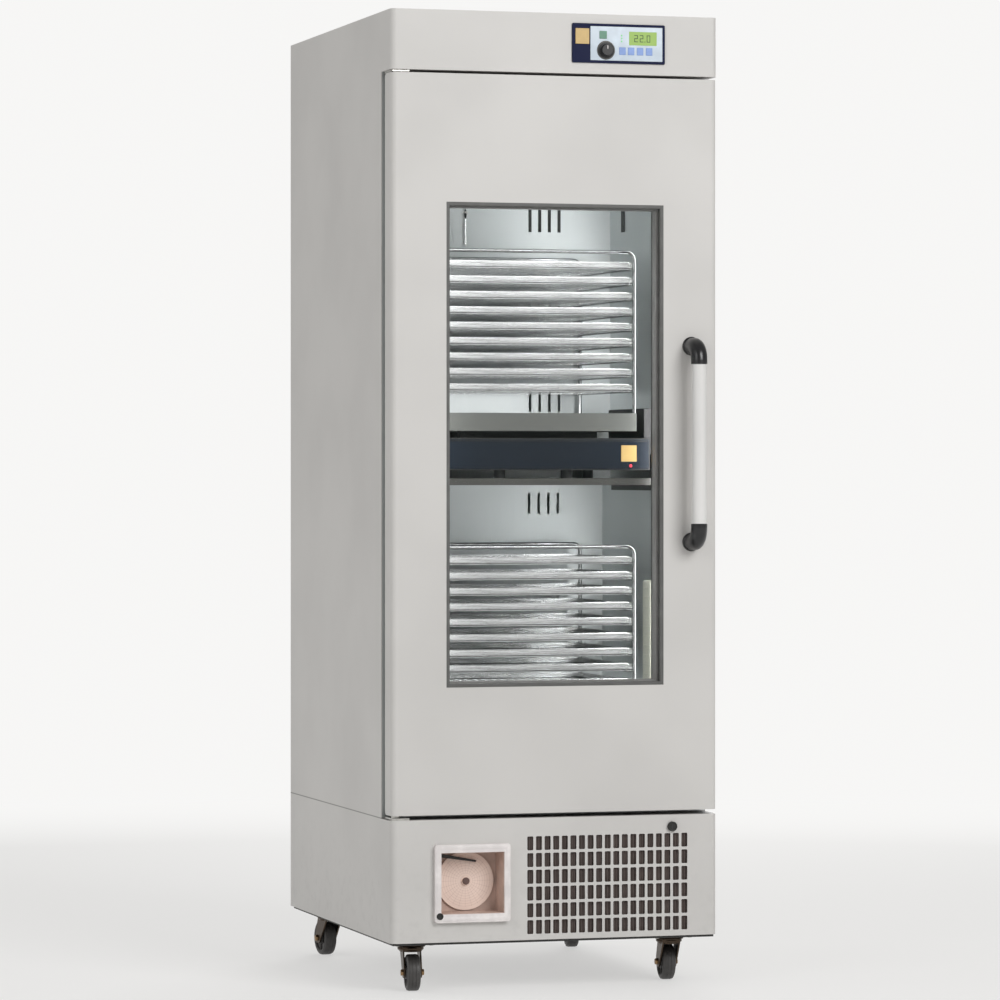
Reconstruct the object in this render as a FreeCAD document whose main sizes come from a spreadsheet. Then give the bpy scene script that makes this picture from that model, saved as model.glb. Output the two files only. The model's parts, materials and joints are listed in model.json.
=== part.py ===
import FreeCAD, Part
import math
import os
import Sketcher

# A platelet incubator cabinet: a glazed door in front of two flat-bed agitators with pull-out trays.
# Millimetres. X runs to the right as seen from the front, Y to the back and Z up.
# The origin is on the floor, under the middle of the box round the whole object.

DRIVING = {
    # cabinet
    "side_wall": 60,
    "back_wall": 61,
    "floor_wall": 79,
    "roof_wall": 185,
    "foam_roof": 80,
    "caster_height": 105,
    "base_height": 250,
    "header_height": 123,
    "header_gap": 6,
    "base_gap": 9.5,
    "corner_radius": 11,
    "panel_wall": 1.5,
    "header_depth": 46,
    # door
    "door_side_gap": 1,
    "door_shell_depth": 46,
    "door_wall": 1.2,
    "door_lining_depth": 15,
    "door_lining_inset": 3,
    "gasket_depth": 14.7,
    "gasket_inset": 25,
    "gasket_width": 20,
    "window_side": 117,
    "window_rise": 259.5,
    "window_drop": 262,
    "seal_gap": 0.3,
    "window_lip": 7,
    "window_set_back": 0.4,
    "pane_recess": 12,
    "pane_thickness": 4,
    "pane_spacing": 26,
    "pane_hold": 3.5,
    # hinges
    "hinge_inset": 18,
    "hinge_setback": 30,
    "pin_radius": 5,
    "pin_reach": 12,
    "hinge_plate": 4,
    "hinge_plate_width": 46,
    "hinge_plate_front": 8,
    "hinge_plate_back": 70,
    "washer_radius": 9,
    "running_gap": 0.05,
    # handle
    "handle_side": 56.5,
    "handle_length": 405,
    "handle_rise": 0.75,
    "handle_standoff": 50,
    "elbow_radius": 17,
    "elbow_bend": 30,
    "elbow_collar": 6.5,
    "grip_radius": 15,
    "grip_wall": 2,
    "grip_hold": 5,
    # chamber
    "lower_headroom": 139,
    "upper_headroom": 293,
    "liner_wall": 1,
    "duct_gap": 15,
    "duct_step": 55,
    "duct_wall": 1.2,
    "duct_slot_width": 6,
    "duct_slot_height": 45,
    "duct_slot_pitch": 22,
    "duct_slot_inset_low": 135.5,
    "duct_slot_inset_high": 150,
    "duct_slot_drop_low": 78,
    "duct_slot_drop_high": 218,
    "duct_group_pitch": 204,
    "duct_slot_count": 4,
    "duct_slot_rows": 3,
    "shelf_lip": 14,
    "shelf_front": 112,
    "shelf_wall": 1.5,
    "support_size": 12,
    # refrigeration behind the back wall panel
    "coil_space": 199,
    "evaporator_side": 90,
    "evaporator_drop": 260,
    "evaporator_height": 260,
    "evaporator_depth": 120,
    "fin_wall": 1.5,
    "fin_pitch": 25,
    "fin_set_back": 14,
    "fin_tube_radius": 6,
    "fin_tube_pitch": 60,
    "cold_fan_drop": 140,
    "cold_fan_radius": 72,
    "cold_fan_motor_radius": 26,
    "cold_fan_motor_length": 42,
    "cold_fan_set_back": 76,
    "fan_shaft_radius": 4,
    "fan_shaft_length": 26,
    "fan_hub_radius": 17,
    "fan_hub_length": 22,
    "fan_blade_wall": 2,
    "fan_blade_width": 34,
    "fan_blades": 5,
    # lamp
    "lamp_width": 46,
    "lamp_thickness": 8,
    "lamp_rise": 183,
    "lamp_length": 213,
    "lamp_front": 214,
    # agitators
    "base_front_depth": 135,
    "base_margin": 29,
    "agitator_depth": 385,
    "foot_height": 17,
    "foot_radius": 12,
    "front_foot_place": 73,
    "rear_foot_inset": 23,
    "foot_edge": 26,
    "base_body_height": 67,
    "rail_height": 14.5,
    "slide_gap": 0.3,
    "rail_width": 20,
    "rail_length": 300,
    "rail_edge": 66,
    "stop_set_in": 25,
    "stop_set_back": 120,
    "stop_gap": 5,
    "stop_width": 27,
    "stop_side_gap": 20,
    "stop_height": 62,
    "stop_drop": 34,
    "stroke_half": 19,
    "platform_height": 37.5,
    "rack_width": 438,
    "rack_headroom": 8,
    "arch_radius": 4,
    "arch_bend": 16,
    "tray_pitch": 32,
    "tray_first": 45,
    "tray_lip": 14,
    "tray_wall": 1.2,
    "tray_gap": 0.5,
    "runner_width": 12,
    "runner_wall": 1.5,
    "tray_slot_width": 14,
    "tray_slot_length": 120,
    "tray_slot_columns": 9,
    "tray_rim_radius": 2.5,
    # drive under each rack
    "shaft_radius": 5,
    "shaft_reach": 22,
    "crank_radius": 27,
    "crank_thickness": 5,
    "crank_lift": 2,
    "crank_pin_radius": 4,
    "crank_pin_length": 18,
    "yoke_clearance": 4.3,
    "yoke_wall": 8,
    "yoke_height": 34,
    "shaft_hole_gap": 3,
    "motor_width": 70,
    "motor_depth": 90,
    "motor_height": 36,
    "motor_can_radius": 17,
    "motor_can_length": 60,
    # control panel
    "bezel_side": 115,
    "bezel_width": 200.5,
    "bezel_drop": 19.5,
    "bezel_height": 81,
    "bezel_thickness": 3,
    "bezel_border": 9,
    "bezel_box_depth": 30,
    "bezel_round": 3,
    "knob_side": 72.5,
    "knob_rise": 26.5,
    "knob_radius": 14,
    "knob_length": 13,
    "knob_shaft_radius": 3,
    "knob_shaft_length": 10,
    # base front
    "base_front_fold": 20,
    "base_front_radius": 14,
    "grille_gap": 39,
    "grille_side": 65,
    "grille_rise": 12,
    "grille_drop": 38,
    "grille_columns": 19,
    "grille_rows": 6,
    "grille_slot_width": 13,
    "grille_slot_height": 28.5,
    "grille_slot_round": 2.5,
    "lock_side": 99,
    "lock_drop": 24,
    "lock_head_radius": 10,
    "lock_head_length": 5,
    "lock_barrel_radius": 8,
    "lock_barrel_length": 18,
    "lock_cam_length": 30,
    "lock_cam_width": 12,
    "lock_cam_wall": 2,
    # chart recorder
    "recorder_side": 90,
    "recorder_width": 160,
    "recorder_rise": 41,
    "recorder_height": 159,
    "recorder_proud": 12,
    "recorder_border": 13,
    "recorder_border_low": 17,
    "recorder_wall": 2,
    "recorder_depth": 70,
    "recorder_back": 52,
    "recorder_round": 6,
    "recorder_key_radius": 7,
    "recorder_key_proud": 2,
    "chart_radius": 60,
    "chart_wall": 1,
    "chart_lift": 5,
    "chart_shaft_radius": 3,
    "chart_shaft_length": 9,
    "chart_hub_radius": 7,
    "chart_hub_length": 5,
    "pen_post_place": 7,
    "pen_post_drop": 8,
    "pen_post_radius": 2.5,
    "pen_post_length": 16,
    "pen_boss_radius": 5,
    "pen_tip_radius": 2,
    "pen_reach": 79,
    "pen_drop": 14,
    "pen_wall": 2,
    "pen_lift": 12,
    # condensing unit
    "compressor_radius": 85,
    "compressor_wall_height": 120,
    "compressor_dome": 32,
    "compressor_foot": 190,
    "compressor_foot_height": 14,
    "compressor_side": 180,
    "compressor_back": 290,
    "condenser_gap": 70,
    "condenser_side": 65,
    "condenser_drop": 25,
    "condenser_front": 60,
    "condenser_depth": 44,
    "shroud_wall": 2,
    "shroud_depth": 60,
    "shroud_set_back": 130,
    "warm_fan_radius": 88,
    "warm_fan_motor_radius": 32,
    "warm_fan_motor_length": 50,
    "motor_strap": 16,
    # chassis and casters
    "chassis_thickness": 5,
    "chassis_inset": 6,
    "chassis_bar": 30,
    "plate_width": 92,
    "plate_depth": 80,
    "plate_thickness": 4,
    "caster_side": 70,
    "caster_edge_front": 105,
    "caster_edge_back": 75,
    "wheel_radius": 37.5,
    "wheel_width": 28,
    "wheel_round": 6,
    "wheel_hub_radius": 14,
    "wheel_rim_radius": 28,
    "wheel_dish": 5,
    "axle_radius": 5,
    "caster_trail": 27,
    "fork_gap": 2,
    "fork_wall": 3,
    "fork_head_radius": 28,
    "fork_head_height": 7.7,
    "fork_crown_height": 8,
    "fork_crown_half": 24,
    "fork_leg_foot": 11,
    "stem_radius": 6,
    # how far a cutting tool runs past the face that it leaves
    "cut_overrun": 3,
}

# Counts, angles in degrees, and shares of the size that they multiply.
TRAY_COUNT = 9
CASTER_ANGLES = {"front_left": -98, "front_right": 84, "back_left": 97, "back_right": 80}
FAN_BLADE_TILT = 28
LEG_ROUNDING_SHARE = 0.8
PEN_ROOT_SHARE = 0.8
PEN_ROUNDING_SHARE = 0.8

document = FreeCAD.newDocument("platelet_agitator_cabinet")
sheet = document.addObject("Spreadsheet::Sheet", "sizes")
for row, (alias, amount) in enumerate(DRIVING.items(), start=1):
    sheet.set(f"A{row}", alias)
    sheet.set(f"B{row}", str(amount))
    sheet.setAlias(f"B{row}", alias)


class Size:
    """A size: its value now, and the formula that gives it from the sheet's cells."""

    def __init__(self, formula, value):
        self.formula = formula
        self.value = value

    def __add__(self, other):
        other = size_of(other)
        return Size(f"({self.formula} + {other.formula})", self.value + other.value)

    def __sub__(self, other):
        other = size_of(other)
        return Size(f"({self.formula} - {other.formula})", self.value - other.value)

    def __mul__(self, other):
        other = size_of(other)
        return Size(f"({self.formula} * {other.formula})", self.value * other.value)

    def __truediv__(self, other):
        other = size_of(other)
        return Size(f"({self.formula} / {other.formula})", self.value / other.value)

    def __neg__(self):
        return Size(f"(0 - {self.formula})", -self.value)

    __radd__ = __add__
    __rmul__ = __mul__


def size_of(number):
    """Lets zero, counts and shares stand beside sizes in a sum."""
    if isinstance(number, Size):
        return number
    return Size(f"({float(number)!r})", number)


cells = {alias: Size(f"sizes.{alias}", float(amount)) for alias, amount in DRIVING.items()}


def follow(alias, size):
    """Adds a size that follows from others to the sheet, under its own name."""
    row = len(cells) + 1
    sheet.set(f"A{row}", alias)
    sheet.set(f"B{row}", "=" + size.formula.replace("sizes.", ""))
    sheet.setAlias(f"B{row}", alias)
    cells[alias] = Size(f"sizes.{alias}", size.value)


def bind(thing, setting, size):
    thing.setExpression(setting, size_of(size).formula)


# The cabinet is built round its racks. Its width follows from the rack, its stroke and the stop.
follow("stop_place", cells["rack_width"] / 2 + cells["stroke_half"] + cells["stop_gap"])
follow("stop_outer", cells["stop_place"] + cells["stop_width"])
follow("chamber_width", (cells["stop_outer"] + cells["stop_side_gap"]) * 2)
follow("width", cells["chamber_width"] + cells["side_wall"] * 2)
follow("base_width", cells["rack_width"] + cells["base_margin"] * 2)
follow("rear_foot_place", cells["base_width"] / 2 - cells["rear_foot_inset"])
# Its depth follows from the agitator and the room for the coil behind it.
follow("agitator_end", cells["base_front_depth"] + cells["agitator_depth"])
follow("stop_front", cells["base_front_depth"] + cells["stop_set_in"])
follow("stop_back", cells["agitator_end"] - cells["stop_set_back"])
follow("duct_high_depth", cells["agitator_end"] + cells["duct_gap"])
follow("duct_low_depth", cells["duct_high_depth"] + cells["duct_step"])
follow("chamber_end", cells["duct_low_depth"] + cells["coil_space"])
follow("depth", cells["chamber_end"] + cells["back_wall"])
# Its height follows from two agitators, each with its trays, and the room over them.
follow("rack_height", cells["tray_first"] + cells["tray_pitch"] * TRAY_COUNT + cells["rack_headroom"])
follow("base_deck", cells["foot_height"] + cells["base_body_height"])
follow("platform_low", cells["base_deck"] + cells["rail_height"])
follow("platform_top", cells["platform_low"] + cells["platform_height"])
follow("rack_top", cells["platform_top"] + cells["rack_height"])
follow("base_top", cells["caster_height"] + cells["base_height"])
follow("chamber_floor", cells["base_top"] + cells["floor_wall"])
follow("shelf_top", cells["chamber_floor"] + cells["rack_top"] + cells["lower_headroom"])
follow("chamber_ceiling", cells["shelf_top"] + cells["rack_top"] + cells["upper_headroom"])
follow("foam_top", cells["chamber_ceiling"] + cells["foam_roof"])
follow("height", cells["chamber_ceiling"] + cells["roof_wall"])

# Planes and places that many pieces share.
half_width = cells["width"] / 2
reach = cells["handle_standoff"] + cells["elbow_radius"]
front = (reach - cells["depth"]) / 2
back = front + cells["depth"]
top = cells["height"]
base_bottom = cells["caster_height"]
base_top = cells["base_top"]
header_bottom = top - cells["header_height"]
door_bottom = base_top + cells["base_gap"]
door_top = header_bottom - cells["header_gap"]
lining_front = front + cells["door_shell_depth"]
lining_back = lining_front + cells["door_lining_depth"]
case_front = lining_back + cells["gasket_depth"] + cells["seal_gap"]
half_chamber = cells["chamber_width"] / 2
chamber_back = front + cells["chamber_end"]
duct_low_front = front + cells["duct_low_depth"]
duct_high_front = front + cells["duct_high_depth"]
wall = cells["panel_wall"]
running = cells["running_gap"]
overrun = cells["cut_overrun"]
hinge_x = cells["hinge_inset"] - half_width
hinge_y = front + cells["hinge_setback"]

# What stands near a side, the roof or the floor keeps its distance from it.
follow("window_width", cells["width"] - cells["window_side"] * 2)
follow("window_bottom", door_bottom + cells["window_rise"])
follow("window_top", door_top - cells["window_drop"])
follow("handle_place", half_width - cells["handle_side"])
follow("handle_low", (door_bottom + door_top - cells["handle_length"]) / 2 + cells["handle_rise"])
follow("handle_high", cells["handle_low"] + cells["handle_length"])
follow("duct_slot_centre_low", half_chamber - cells["duct_slot_inset_low"])
follow("duct_slot_centre_high", half_chamber - cells["duct_slot_inset_high"])
follow("evaporator_width", cells["chamber_width"] - cells["evaporator_side"] * 2)
follow("evaporator_high", cells["chamber_ceiling"] - cells["evaporator_drop"])
follow("evaporator_low", cells["evaporator_high"] - cells["evaporator_height"])
follow("cold_fan_height", cells["chamber_ceiling"] - cells["cold_fan_drop"])
follow("lamp_low", cells["chamber_floor"] + cells["lamp_rise"])
follow("lamp_high", cells["lamp_low"] + cells["lamp_length"])
follow("bezel_right", half_width - cells["bezel_side"])
follow("bezel_left", cells["bezel_right"] - cells["bezel_width"])
follow("bezel_high", top - cells["bezel_drop"])
follow("bezel_low", cells["bezel_high"] - cells["bezel_height"])
follow("knob_place", cells["bezel_left"] + cells["knob_side"])
follow("knob_height", cells["bezel_low"] + cells["knob_rise"])
follow("recorder_left", half_width - cells["recorder_side"])
follow("recorder_right", cells["recorder_left"] - cells["recorder_width"])
follow("recorder_low", base_bottom + cells["recorder_rise"])
follow("recorder_high", cells["recorder_low"] + cells["recorder_height"])
follow("grille_left", cells["recorder_right"] - cells["grille_gap"])
follow("grille_right", half_width - cells["grille_side"])
follow("grille_low", base_bottom + cells["grille_rise"])
follow("grille_high", base_top - cells["grille_drop"])
follow("lock_place", half_width - cells["lock_side"])
follow("lock_height", base_top - cells["lock_drop"])
follow("compressor_left", half_width - cells["compressor_side"])
follow("compressor_setback", cells["depth"] - cells["compressor_back"])
follow("condenser_left", cells["recorder_right"] - cells["condenser_gap"])
follow("condenser_right", half_width - cells["condenser_side"])
follow("condenser_high", base_top - cells["condenser_drop"])
follow("caster_place", half_width - cells["caster_side"])
document.recompute()

pieces = []


def keep(name, thing):
    """Gives a finished sub-part its own label, which names its file."""
    thing.Label = name
    pieces.append(thing)
    return thing


def place(thing, x, y, z):
    bind(thing, "Placement.Base.x", x)
    bind(thing, "Placement.Base.y", y)
    bind(thing, "Placement.Base.z", z)
    return thing


def block(x, y, z, name="block"):
    """A box between two places on each axis."""
    box = document.addObject("Part::Box", name)
    bind(box, "Length", x[1] - x[0])
    bind(box, "Width", y[1] - y[0])
    bind(box, "Height", z[1] - z[0])
    return place(box, x[0], y[0], z[0])


AXIS_TURNS = {
    "X": FreeCAD.Rotation(FreeCAD.Vector(0, 1, 0), 90),
    "Y": FreeCAD.Rotation(FreeCAD.Vector(1, 0, 0), -90),
    "Z": FreeCAD.Rotation(),
}


def sorted_pair(one, other):
    return (one, other) if one.value < other.value else (other, one)


def rod(axis, start, radius, length, name="rod"):
    """A round bar from its start, along an axis."""
    bar = document.addObject("Part::Cylinder", name)
    bind(bar, "Radius", radius)
    bind(bar, "Height", length)
    bar.Placement = FreeCAD.Placement(FreeCAD.Vector(), AXIS_TURNS[axis])
    return place(bar, *start)


def quarter_bend(centre, turn, bend_radius, radius, name="bend"):
    """A quarter of a round bend; turn carries its flat ring and its first arm."""
    bend = document.addObject("Part::Torus", name)
    bind(bend, "Radius1", bend_radius)
    bind(bend, "Radius2", radius)
    bend.Angle3 = 90
    bend.Placement = FreeCAD.Placement(FreeCAD.Vector(), turn)
    return place(bend, *centre)


def group(things, name="group"):
    """Separate solids, or one master solid, held in one object with its own place."""
    compound = document.addObject("Part::Compound", name)
    compound.Links = things
    return compound


def fuse(things, name="fuse"):
    union = document.addObject("Part::MultiFuse", name)
    union.Shapes = things
    return union


def cut(base, tools, name="cut"):
    """Takes one tool, or several that do not touch each other, out of the base."""
    remainder = document.addObject("Part::Cut", name)
    remainder.Base = base
    remainder.Tool = tools[0] if len(tools) == 1 else group(tools, "tools")
    return remainder


PLANE_ROLES = {"X": "YZ_Plane", "Y": "XZ_Plane", "Z": "XY_Plane"}


def new_sketch(body, axis, level):
    """A sketch square to an axis at a level; the plane across Y has its normal towards -Y."""
    sketch = body.newObject("Sketcher::SketchObject", "outline")
    role = PLANE_ROLES[axis]
    plane = [feature for feature in body.Origin.OriginFeatures if feature.Role == role][0]
    sketch.AttachmentSupport = (plane, [""])
    sketch.MapMode = "FlatFace"
    bind(sketch, "AttachmentOffset.Base.z", -level if axis == "Y" else level)
    return sketch


def hold_point(sketch, element, point, across, up):
    """Holds one point of the sketch at its place."""
    for kind, size in (("DistanceX", across), ("DistanceY", up)):
        size = size_of(size)
        constraint = Sketcher.Constraint(kind, -1, 1, element, point, size.value)
        index = sketch.addConstraint(constraint)
        bind(sketch, f"Constraints[{index}]", size)


def hold_radius(sketch, element, radius):
    index = sketch.addConstraint(Sketcher.Constraint("Radius", element, radius.value))
    bind(sketch, f"Constraints[{index}]", radius)


def draw_outline(sketch, corners):
    """A closed outline of corners (across, up), or (across, up, rounding)."""
    count = len(corners)
    spots = [FreeCAD.Vector(size_of(corner[0]).value, size_of(corner[1]).value, 0) for corner in corners]
    ends = []
    for number, corner in enumerate(corners):
        spot = spots[number]
        if len(corner) == 2:
            ends.append((spot, spot, None))
            continue
        behind = (spots[number - 1] - spot).normalize()
        ahead = (spots[(number + 1) % count] - spot).normalize()
        half = behind.getAngle(ahead) / 2
        run = corner[2].value / math.tan(half)
        middle = spot + (behind + ahead).normalize() * (corner[2].value / math.sin(half))
        ends.append((spot + behind * run, spot + ahead * run, middle))
    lines = []
    for number in range(count):
        line = Part.LineSegment(ends[number][1], ends[(number + 1) % count][0])
        lines.append(sketch.addGeometry(line, False))
    for number, corner in enumerate(corners):
        before = lines[number - 1]
        after = lines[number]
        arrive, leave, middle = ends[number]
        if middle is None:
            sketch.addConstraint(Sketcher.Constraint("Coincident", before, 2, after, 1))
            hold_point(sketch, after, 1, corner[0], corner[1])
            continue
        first = math.atan2(arrive.y - middle.y, arrive.x - middle.x)
        last = math.atan2(leave.y - middle.y, leave.x - middle.x)
        forward = (last - first) % (2 * math.pi) < math.pi
        if not forward:
            first, last = last, first
        if last < first:
            last += 2 * math.pi
        circle = Part.Circle(middle, FreeCAD.Vector(0, 0, 1), corner[2].value)
        arc = sketch.addGeometry(Part.ArcOfCircle(circle, first, last), False)
        mark = sketch.addGeometry(Part.Point(spots[number]), True)
        sketch.addConstraint([
            Sketcher.Constraint("Tangent", before, 2, arc, 1 if forward else 2),
            Sketcher.Constraint("Tangent", after, 1, arc, 2 if forward else 1),
            Sketcher.Constraint("PointOnObject", mark, 1, before),
            Sketcher.Constraint("PointOnObject", mark, 1, after),
        ])
        hold_radius(sketch, arc, corner[2])
        hold_point(sketch, mark, 1, corner[0], corner[1])


def rectangle(across, up, rounding=None):
    """The four corners of a rectangle, all with one rounding if it is given."""
    corners = [(across[0], up[0]), (across[1], up[0]), (across[1], up[1]), (across[0], up[1])]
    if rounding is None:
        return corners
    return [corner + (rounding,) for corner in corners]


def prism(name, axis, span, outlines):
    """A body with one pad: closed outlines, drawn square to an axis."""
    body = document.addObject("PartDesign::Body", name)
    sketch = new_sketch(body, axis, span[0])
    for corners in outlines:
        draw_outline(sketch, corners)
    pad = body.newObject("PartDesign::Pad", "pad")
    pad.Profile = sketch
    bind(pad, "Length", span[1] - span[0])
    pad.Reversed = axis == "Y"
    return body


def rounded_front_block(name, x, y, z, radius):
    """A box whose two upright front edges are rounded."""
    corners = [(x[0], y[0], radius), (x[1], y[0], radius), (x[1], y[1]), (x[0], y[1])]
    return prism(name, "Z", z, [corners])


def spin(name, corners):
    """A body turned about Z from an outline of corners (radius, height)."""
    body = document.addObject("PartDesign::Body", name)
    sketch = new_sketch(body, "Y", size_of(0))
    draw_outline(sketch, corners)
    turn = body.newObject("PartDesign::Revolution", "turn")
    turn.Profile = sketch
    turn.ReferenceAxis = (sketch, ["V_Axis"])
    turn.Angle = 360
    return body


# Outer case of sheet steel, open at the front, with the box behind the header front.
def outer_case():
    sides = (-half_width, half_width)
    inner_sides = (wall - half_width, half_width - wall)
    body = block(sides, (case_front, back), (base_top, top))
    header = block(sides, (front + cells["header_depth"], case_front), (header_bottom, top))
    inside = block(inner_sides, (case_front - overrun, back - wall), (base_top + wall, top - wall))
    shelf = block(inner_sides, (case_front - overrun * 2, case_front), (base_top, header_bottom + wall))
    header_inside = block(
        inner_sides,
        (front + cells["header_depth"] - overrun, case_front),
        (header_bottom + wall, top - wall),
    )
    hollow = fuse([cut(inside, [shelf]), header_inside])
    keep("outer_case", cut(fuse([body, header]), [hollow]))


def foam_insulation():
    liner = cells["liner_wall"]
    sides = (wall - half_width, half_width - wall)
    solid = block(sides, (case_front + liner, back - wall), (base_top + wall, cells["foam_top"]))
    hollow = block(
        (-half_chamber - liner, half_chamber + liner),
        (case_front, chamber_back + liner),
        (cells["chamber_floor"] - liner, cells["chamber_ceiling"] + liner),
    )
    keep("foam_insulation", cut(solid, [hollow]))


# Stainless liner: a box open at the front, with a flange that covers the foam.
def inner_liner():
    liner = cells["liner_wall"]
    flange = block(
        (wall - half_width, half_width - wall),
        (case_front, case_front + liner),
        (base_top + wall, header_bottom),
    )
    box = block(
        (-half_chamber - liner, half_chamber + liner),
        (case_front, chamber_back + liner),
        (cells["chamber_floor"] - liner, cells["chamber_ceiling"] + liner),
    )
    hollow = block(
        (-half_chamber, half_chamber),
        (case_front - overrun, chamber_back),
        (cells["chamber_floor"], cells["chamber_ceiling"]),
    )
    keep("inner_liner", cut(fuse([flange, box]), [hollow]))


# Back wall panel: set forward above the shelf, with groups of four upright slots.
def duct_panel():
    sheet_wall = cells["duct_wall"]
    step = cells["shelf_top"] - cells["shelf_lip"]
    profile = [
        (duct_low_front, cells["chamber_floor"]),
        (duct_low_front + sheet_wall, cells["chamber_floor"]),
        (duct_low_front + sheet_wall, step + sheet_wall),
        (duct_high_front + sheet_wall, step + sheet_wall),
        (duct_high_front + sheet_wall, cells["chamber_ceiling"]),
        (duct_high_front, cells["chamber_ceiling"]),
        (duct_high_front, step),
        (duct_low_front, step),
    ]
    panel = prism("panel", "X", (-half_chamber, half_chamber), [profile])
    slots = []
    slot_span = cells["duct_slot_pitch"] * (cells["duct_slot_count"] - 1)
    low_row = cells["shelf_top"] - cells["duct_slot_drop_low"]
    high_row = cells["chamber_ceiling"] - cells["duct_slot_drop_high"]
    decks = (
        (duct_low_front, low_row, cells["duct_slot_centre_low"]),
        (duct_high_front, high_row, cells["duct_slot_centre_high"]),
    )
    for face, highest, centre in decks:
        for row in range(int(DRIVING["duct_slot_rows"])):
            low = highest - cells["duct_group_pitch"] * row
            for side in (-1, 1):
                first = centre * side - slot_span / 2 - cells["duct_slot_width"] / 2
                for number in range(int(DRIVING["duct_slot_count"])):
                    left = first + cells["duct_slot_pitch"] * number
                    slots.append(block(
                        (left, left + cells["duct_slot_width"]),
                        (face - overrun, face + sheet_wall + overrun),
                        (low, low + cells["duct_slot_height"]),
                    ))
    keep("duct_panel", cut(panel, slots))


def fan_rotor(name, x, y, z, radius):
    """A rotor with its bore along Y; its front is at the given place."""
    hub = rod("Y", (0, 0, 0), cells["fan_hub_radius"], cells["fan_hub_length"])
    blades = []
    count = int(DRIVING["fan_blades"])
    for number in range(count):
        blade = block(
            (cells["fan_hub_radius"] / 2, radius),
            (-cells["fan_blade_wall"] / 2, cells["fan_blade_wall"] / 2),
            (-cells["fan_blade_width"] / 2, cells["fan_blade_width"] / 2),
        )
        tilted = group([blade])
        tilted.Placement = FreeCAD.Placement(
            FreeCAD.Vector(), FreeCAD.Rotation(FreeCAD.Vector(1, 0, 0), FAN_BLADE_TILT)
        )
        turned = group([tilted])
        turned.Placement = FreeCAD.Placement(
            FreeCAD.Vector(), FreeCAD.Rotation(FreeCAD.Vector(0, 1, 0), 360 / count * number)
        )
        bind(turned, "Placement.Base.y", cells["fan_hub_length"] / 2)
        blades.append(turned)
    bore = rod("Y", (0, 0, 0), cells["fan_shaft_radius"] + running, cells["fan_hub_length"])
    rotor = cut(fuse([hub] + blades), [bore])
    return keep(name, place(group([rotor]), x, y, z))


def finned_coil(x, y, z, pitch):
    """A coil block: two end plates, fins between them and tubes across, all in one solid."""
    fins = []
    count = int((x[1].value - x[0].value) / DRIVING["fin_pitch"])
    step = (x[1] - x[0] - cells["fin_wall"]) / count
    for number in range(count + 1):
        low = x[0] + step * number
        fins.append(block((low, low + cells["fin_wall"]), y, z))
    tubes = []
    middle = (y[0] + y[1]) / 2
    tube_count = int((z[1].value - z[0].value) / pitch.value)
    for number in range(tube_count):
        height = z[0] + pitch / 2 + pitch * number
        tubes.append(rod("X", (x[0], middle, height), cells["fin_tube_radius"], x[1] - x[0]))
    return fuse(fins + tubes)


def evaporator():
    """The coil hangs on the back of the panel; its fan motor sits on a strap above it."""
    seat = duct_high_front + cells["duct_wall"]
    half = cells["evaporator_width"] / 2
    fin_wall = cells["fin_wall"]
    low = cells["evaporator_low"]
    high = cells["evaporator_high"]
    set_back = seat + cells["fin_set_back"]
    coil = finned_coil(
        (fin_wall - half, half - fin_wall), (set_back, set_back + cells["evaporator_depth"]),
        (low, high), cells["fin_tube_pitch"],
    )
    fan_centre = cells["cold_fan_height"]
    strap_half = cells["motor_strap"] / 2
    motor_front = seat + cells["cold_fan_set_back"]
    ends = []
    for side in (-1, 1):
        edges = sorted_pair(half * side, (half - fin_wall) * side)
        run = (seat, set_back + cells["evaporator_depth"])
        ends.append(block(edges, run, (low, fan_centre + strap_half)))
    strap = block(
        (fin_wall - half, half - fin_wall),
        (motor_front, motor_front + fin_wall),
        (fan_centre - strap_half, fan_centre + strap_half),
    )
    motor = rod(
        "Y", (size_of(0), motor_front, fan_centre),
        cells["cold_fan_motor_radius"], cells["cold_fan_motor_length"],
    )
    shaft = rod(
        "Y", (size_of(0), motor_front - cells["fan_shaft_length"], fan_centre),
        cells["fan_shaft_radius"], cells["fan_shaft_length"],
    )
    keep("evaporator", fuse([coil] + ends + [strap, motor, shaft]))
    fan_rotor(
        "evaporator_fan", size_of(0), motor_front - cells["fan_shaft_length"], fan_centre,
        cells["cold_fan_radius"],
    )


def lamp_strip():
    keep("lamp_strip", block(
        (half_chamber - cells["lamp_thickness"], half_chamber),
        (front + cells["lamp_front"], front + cells["lamp_front"] + cells["lamp_width"]),
        (cells["lamp_low"], cells["lamp_high"]),
    ))


# Shelf with folded lips, carried on two angle supports fixed to the side walls.
def mid_shelf():
    sheet_wall = cells["shelf_wall"]
    low = cells["shelf_top"] - cells["shelf_lip"]
    edges = (front + cells["shelf_front"], duct_high_front)
    slab = block((-half_chamber, half_chamber), edges, (low, cells["shelf_top"]))
    hollow = block(
        (sheet_wall - half_chamber, half_chamber - sheet_wall),
        (edges[0] + sheet_wall, edges[1] - sheet_wall),
        (low - overrun, cells["shelf_top"] - sheet_wall),
    )
    solids = [cut(slab, [hollow])]
    size = cells["support_size"]
    for side in (-1, 1):
        leg = sorted_pair(half_chamber * side, (half_chamber - sheet_wall) * side)
        foot = sorted_pair(half_chamber * side, (half_chamber - size) * side)
        run = (edges[0] + size, edges[1] - size)
        solids.append(fuse([block(leg, run, (low - size, low)), block(foot, run, (low - sheet_wall, low))]))
    keep("mid_shelf", group(solids))


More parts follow.
